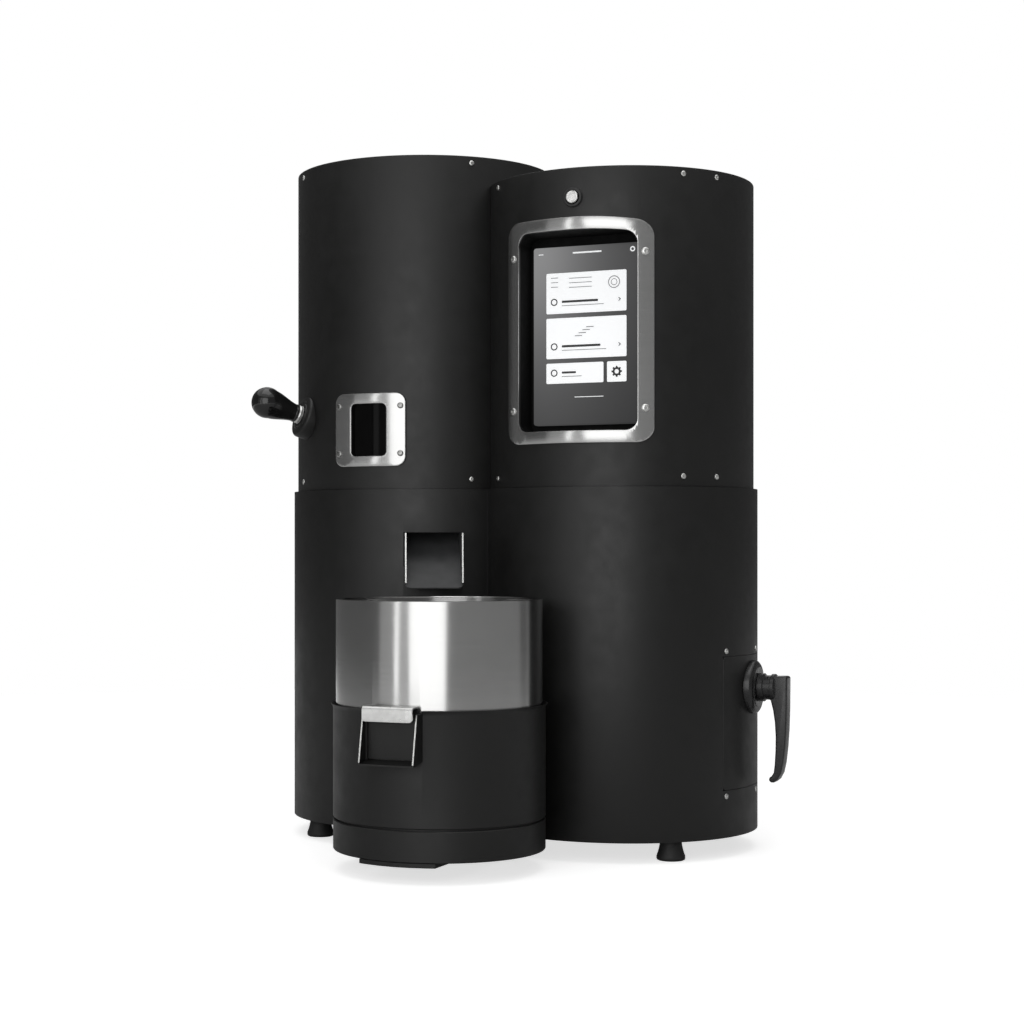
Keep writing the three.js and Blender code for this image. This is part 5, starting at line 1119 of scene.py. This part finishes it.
def makeLid():
    piece("chargeHopper", spun(lid["hopper"], axes["left"]), innerSteel, "charge_hopper")
    half, lug, out, barrel, foot = (lid[k] for k in ("half", "lug", "out", "barrel", "foot"))
    up = lid["low"] + barrel
    base = soften(byLeft((-half, out - barrel, foot), (half, out + 3 * barrel, foot + 0.002)), 0.0004)
    joined = [acrossBar(lid["pin"], -half, half, up)]
    for side in (-1, 1):
        left, right = sorted((side * (half - lug), side * half))
        rivet = (axes["left"][0] + side * 0.013, axes["left"][1] + out + 0.0105)
        joined += [byLeft((left, out - barrel, foot), (right, out + barrel, up)), acrossBar(barrel, left, right, up),
                   drum(0.0026, foot + 0.001, foot + 0.0034, rivet, 32)]
    whole = carve(base, [drum(0.0643, 0.68, 0.6905, axes["left"], 96)], joined)
    piece("lidBracket", whole, innerSteel, "lid_hinge_bracket")
    inside = half - lug - 0.0006
    arm = soften(byLeft((-inside, lid["armIn"], lid["low"]), (inside, out, lid["high"])), 0.0004)
    hinge = carve(acrossBar(barrel, -inside, inside, up), [acrossBar(lid["bore"], -half, half, up)])
    disc = spun(lid["disc"], axes["left"], closed=False)
    whole = carve(disc, [acrossBar(lid["bore"], -half, half, up)], [arm, hinge])
    piece("chargeLid", whole, leftSteel, "charge_lid", body="charge_lid")
    piece("lidKnob", spun(lid["knob"], axes["left"], 64, False), blackPlastic, body="charge_lid")


makeLid()
print("feet, top plates and lid made")


def makeTray():
    wall, back, seat = tray["wall"], tray["back"], towers["upperRadius"] - towers["wall"] - towers["gap"]
    outside = shift(plate(*tray["outer"], seat + 0.002 - back + wall), y=-seat - 0.002)
    inside = shift(plate(*tray["open"], tray["cutOut"] - back), y=-tray["cutOut"])
    (low, high), far = tray["trimUp"], tray["trimOut"]
    trim = spun([(seat, low), (far, low), (far, high), (seat, high)], steps=192)
    posts = [shift(layForward(drum(tray["post"], -tray["postLength"], 0, segments=32)), x, wall - back - 0.0003, z)
             for x in (-tray["postAcross"], tray["postAcross"]) for z in tray["postUp"]]
    whole = shift(carve(outside, [inside, trim], posts), *axes["right"])
    piece("displayTray", whole, trayBlack, "display_housing")


sight = {"glass": (0.0246, 0.3905, 0.4535, 0.005, 0.0030), "strip": 0.002, "out": 0.1337}


def makeSight():
    pane = drape(strips(plate(*sight["glass"]), sight["strip"]), axes["left"], sight["out"])
    piece("sightPane", pane, sightGlass, "window_glass")


makeTray()
makeSight()

rear = {
    "throat": 0.0180, "flangeOut": 0.139, "collarScrews": ((0.0027, 0.0011), (-0.0325, 0.0325), (-0.0325, 0.0325)),
    "plate": (0.045, 0.052, 0.132, 0.003), "plateOut": 0.12975, "up": 0.092, "inletX": -0.020, "rockerX": 0.020,
    "serviceScrews": ((0.0024, 0.0010), (-0.0365, 0.0365), (0.0610, 0.1230)),
    "cut": (0.12, 0.15), "inletHole": (0.0143, 0.0163), "rockerHole": (0.0103, 0.0143),
    "blades": (-0.008, 0, 0.008), "bladeHalf": (0.001, 0.004), "bladeOut": (0.1075, 0.12375),
    "rocker": mm((121.75, -12), (133.1, -12), (133.6, -11.8), (133.75, -11.2), (133.4, -9.5), (132, -5.5), (131.1, -2),
                 (130.8, 1.5), (130.9, 5), (131.3, 8.5), (131.6, 10.8), (131.5, 11.6), (131, 12), (121.75, 12)),
}


def rearScrews(name, spots, out, up, tower):
    size, across, heights = spots
    heads = [behind(shift(screwForm(*size), y=-out), x, up + z, tower) for x in across for z in heights]
    piece(name, gather(heads), screwSteel)


def makeCollar():
    t, out, up = rear["throat"], rear["flangeOut"], towers["collarUp"]
    tube = spun([(t, 0.094), (t + 0.002, 0.094), *mm((40, 122), (40, 150), (39.3, 150.6), (39.3, 151.6), (40, 152.2),
                 (40, 168.6), (39.6, 169.7), (38.8, 170), (38.1, 169.6), (38, 168.6), (38, 124))])
    flange = spun([(0.0385, 0.130), (0.052, 0.130), (0.052, out - 0.0007), (0.0513, out), (0.0385, out)])
    seated = carve(behind(layForward(flange), 0, up, "right"),
                   [drum(towers["upperRadius"] + 0.0003, 0.50, 0.68, axes["right"])])
    whole = carve(behind(layForward(tube), 0, up, "right"), [], [seated])
    piece("exhaustCollar", whole, zinc, "exhaust_collar")
    rearScrews("collarScrews", rear["collarScrews"], out, up, "right")


def makeService():
    out, up, inletX, rockerX = rear["plateOut"], rear["up"], rear["inletX"], rear["rockerX"]
    panel = shift(soften(plate(*rear["plate"], 0.002), 0.0004), y=-out)
    cutIn, cutOut = rear["cut"]
    holes = [block((-x - half, -cutOut, up - tall), (-x + half, -cutIn, up + tall))
             for x, (half, tall) in ((inletX, rear["inletHole"]), (rockerX, rear["rockerHole"]))]
    piece("servicePlate", behind(carve(panel, holes)), blackPaint, "service_plate")
    flange = shift(soften(plate(0.017, -0.019, 0.019, 0.003, 0.0017), 0.0005), y=-out - 0.002)
    body = block((-0.014, -out - 0.00125, -0.016), (0.014, -0.10215, 0.016))
    mouth = shift(plate(0.012, -0.014, 0.014, 0.004, 0.0276), y=-out - 0.006)
    inlet = behind(carve(carve(body, [], [flange]), [mouth]), inletX, up)
    piece("powerInlet", inlet, blackPlastic, "power_inlet")
    (thin, wide), (bladeIn, bladeOut) = rear["bladeHalf"], rear["bladeOut"]
    blades = [soften(block((x - thin, -bladeOut, -wide), (x + thin, -bladeIn, wide)), 0.0003)
              for x in rear["blades"]]
    piece("inletBlades", behind(gather(blades), inletX, up), screwSteel)
    rocker = behind(soften(sideShape(rear["rocker"], -0.010, 0.010), 0.0004), rockerX, up)
    piece("powerRocker", rocker, satinPlastic, "power_switch", body="power_switch")
    rearScrews("serviceScrews", rear["serviceScrews"], out, 0, "left")


makeCollar()
makeService()
print("tray, glass, collar and service plate made")
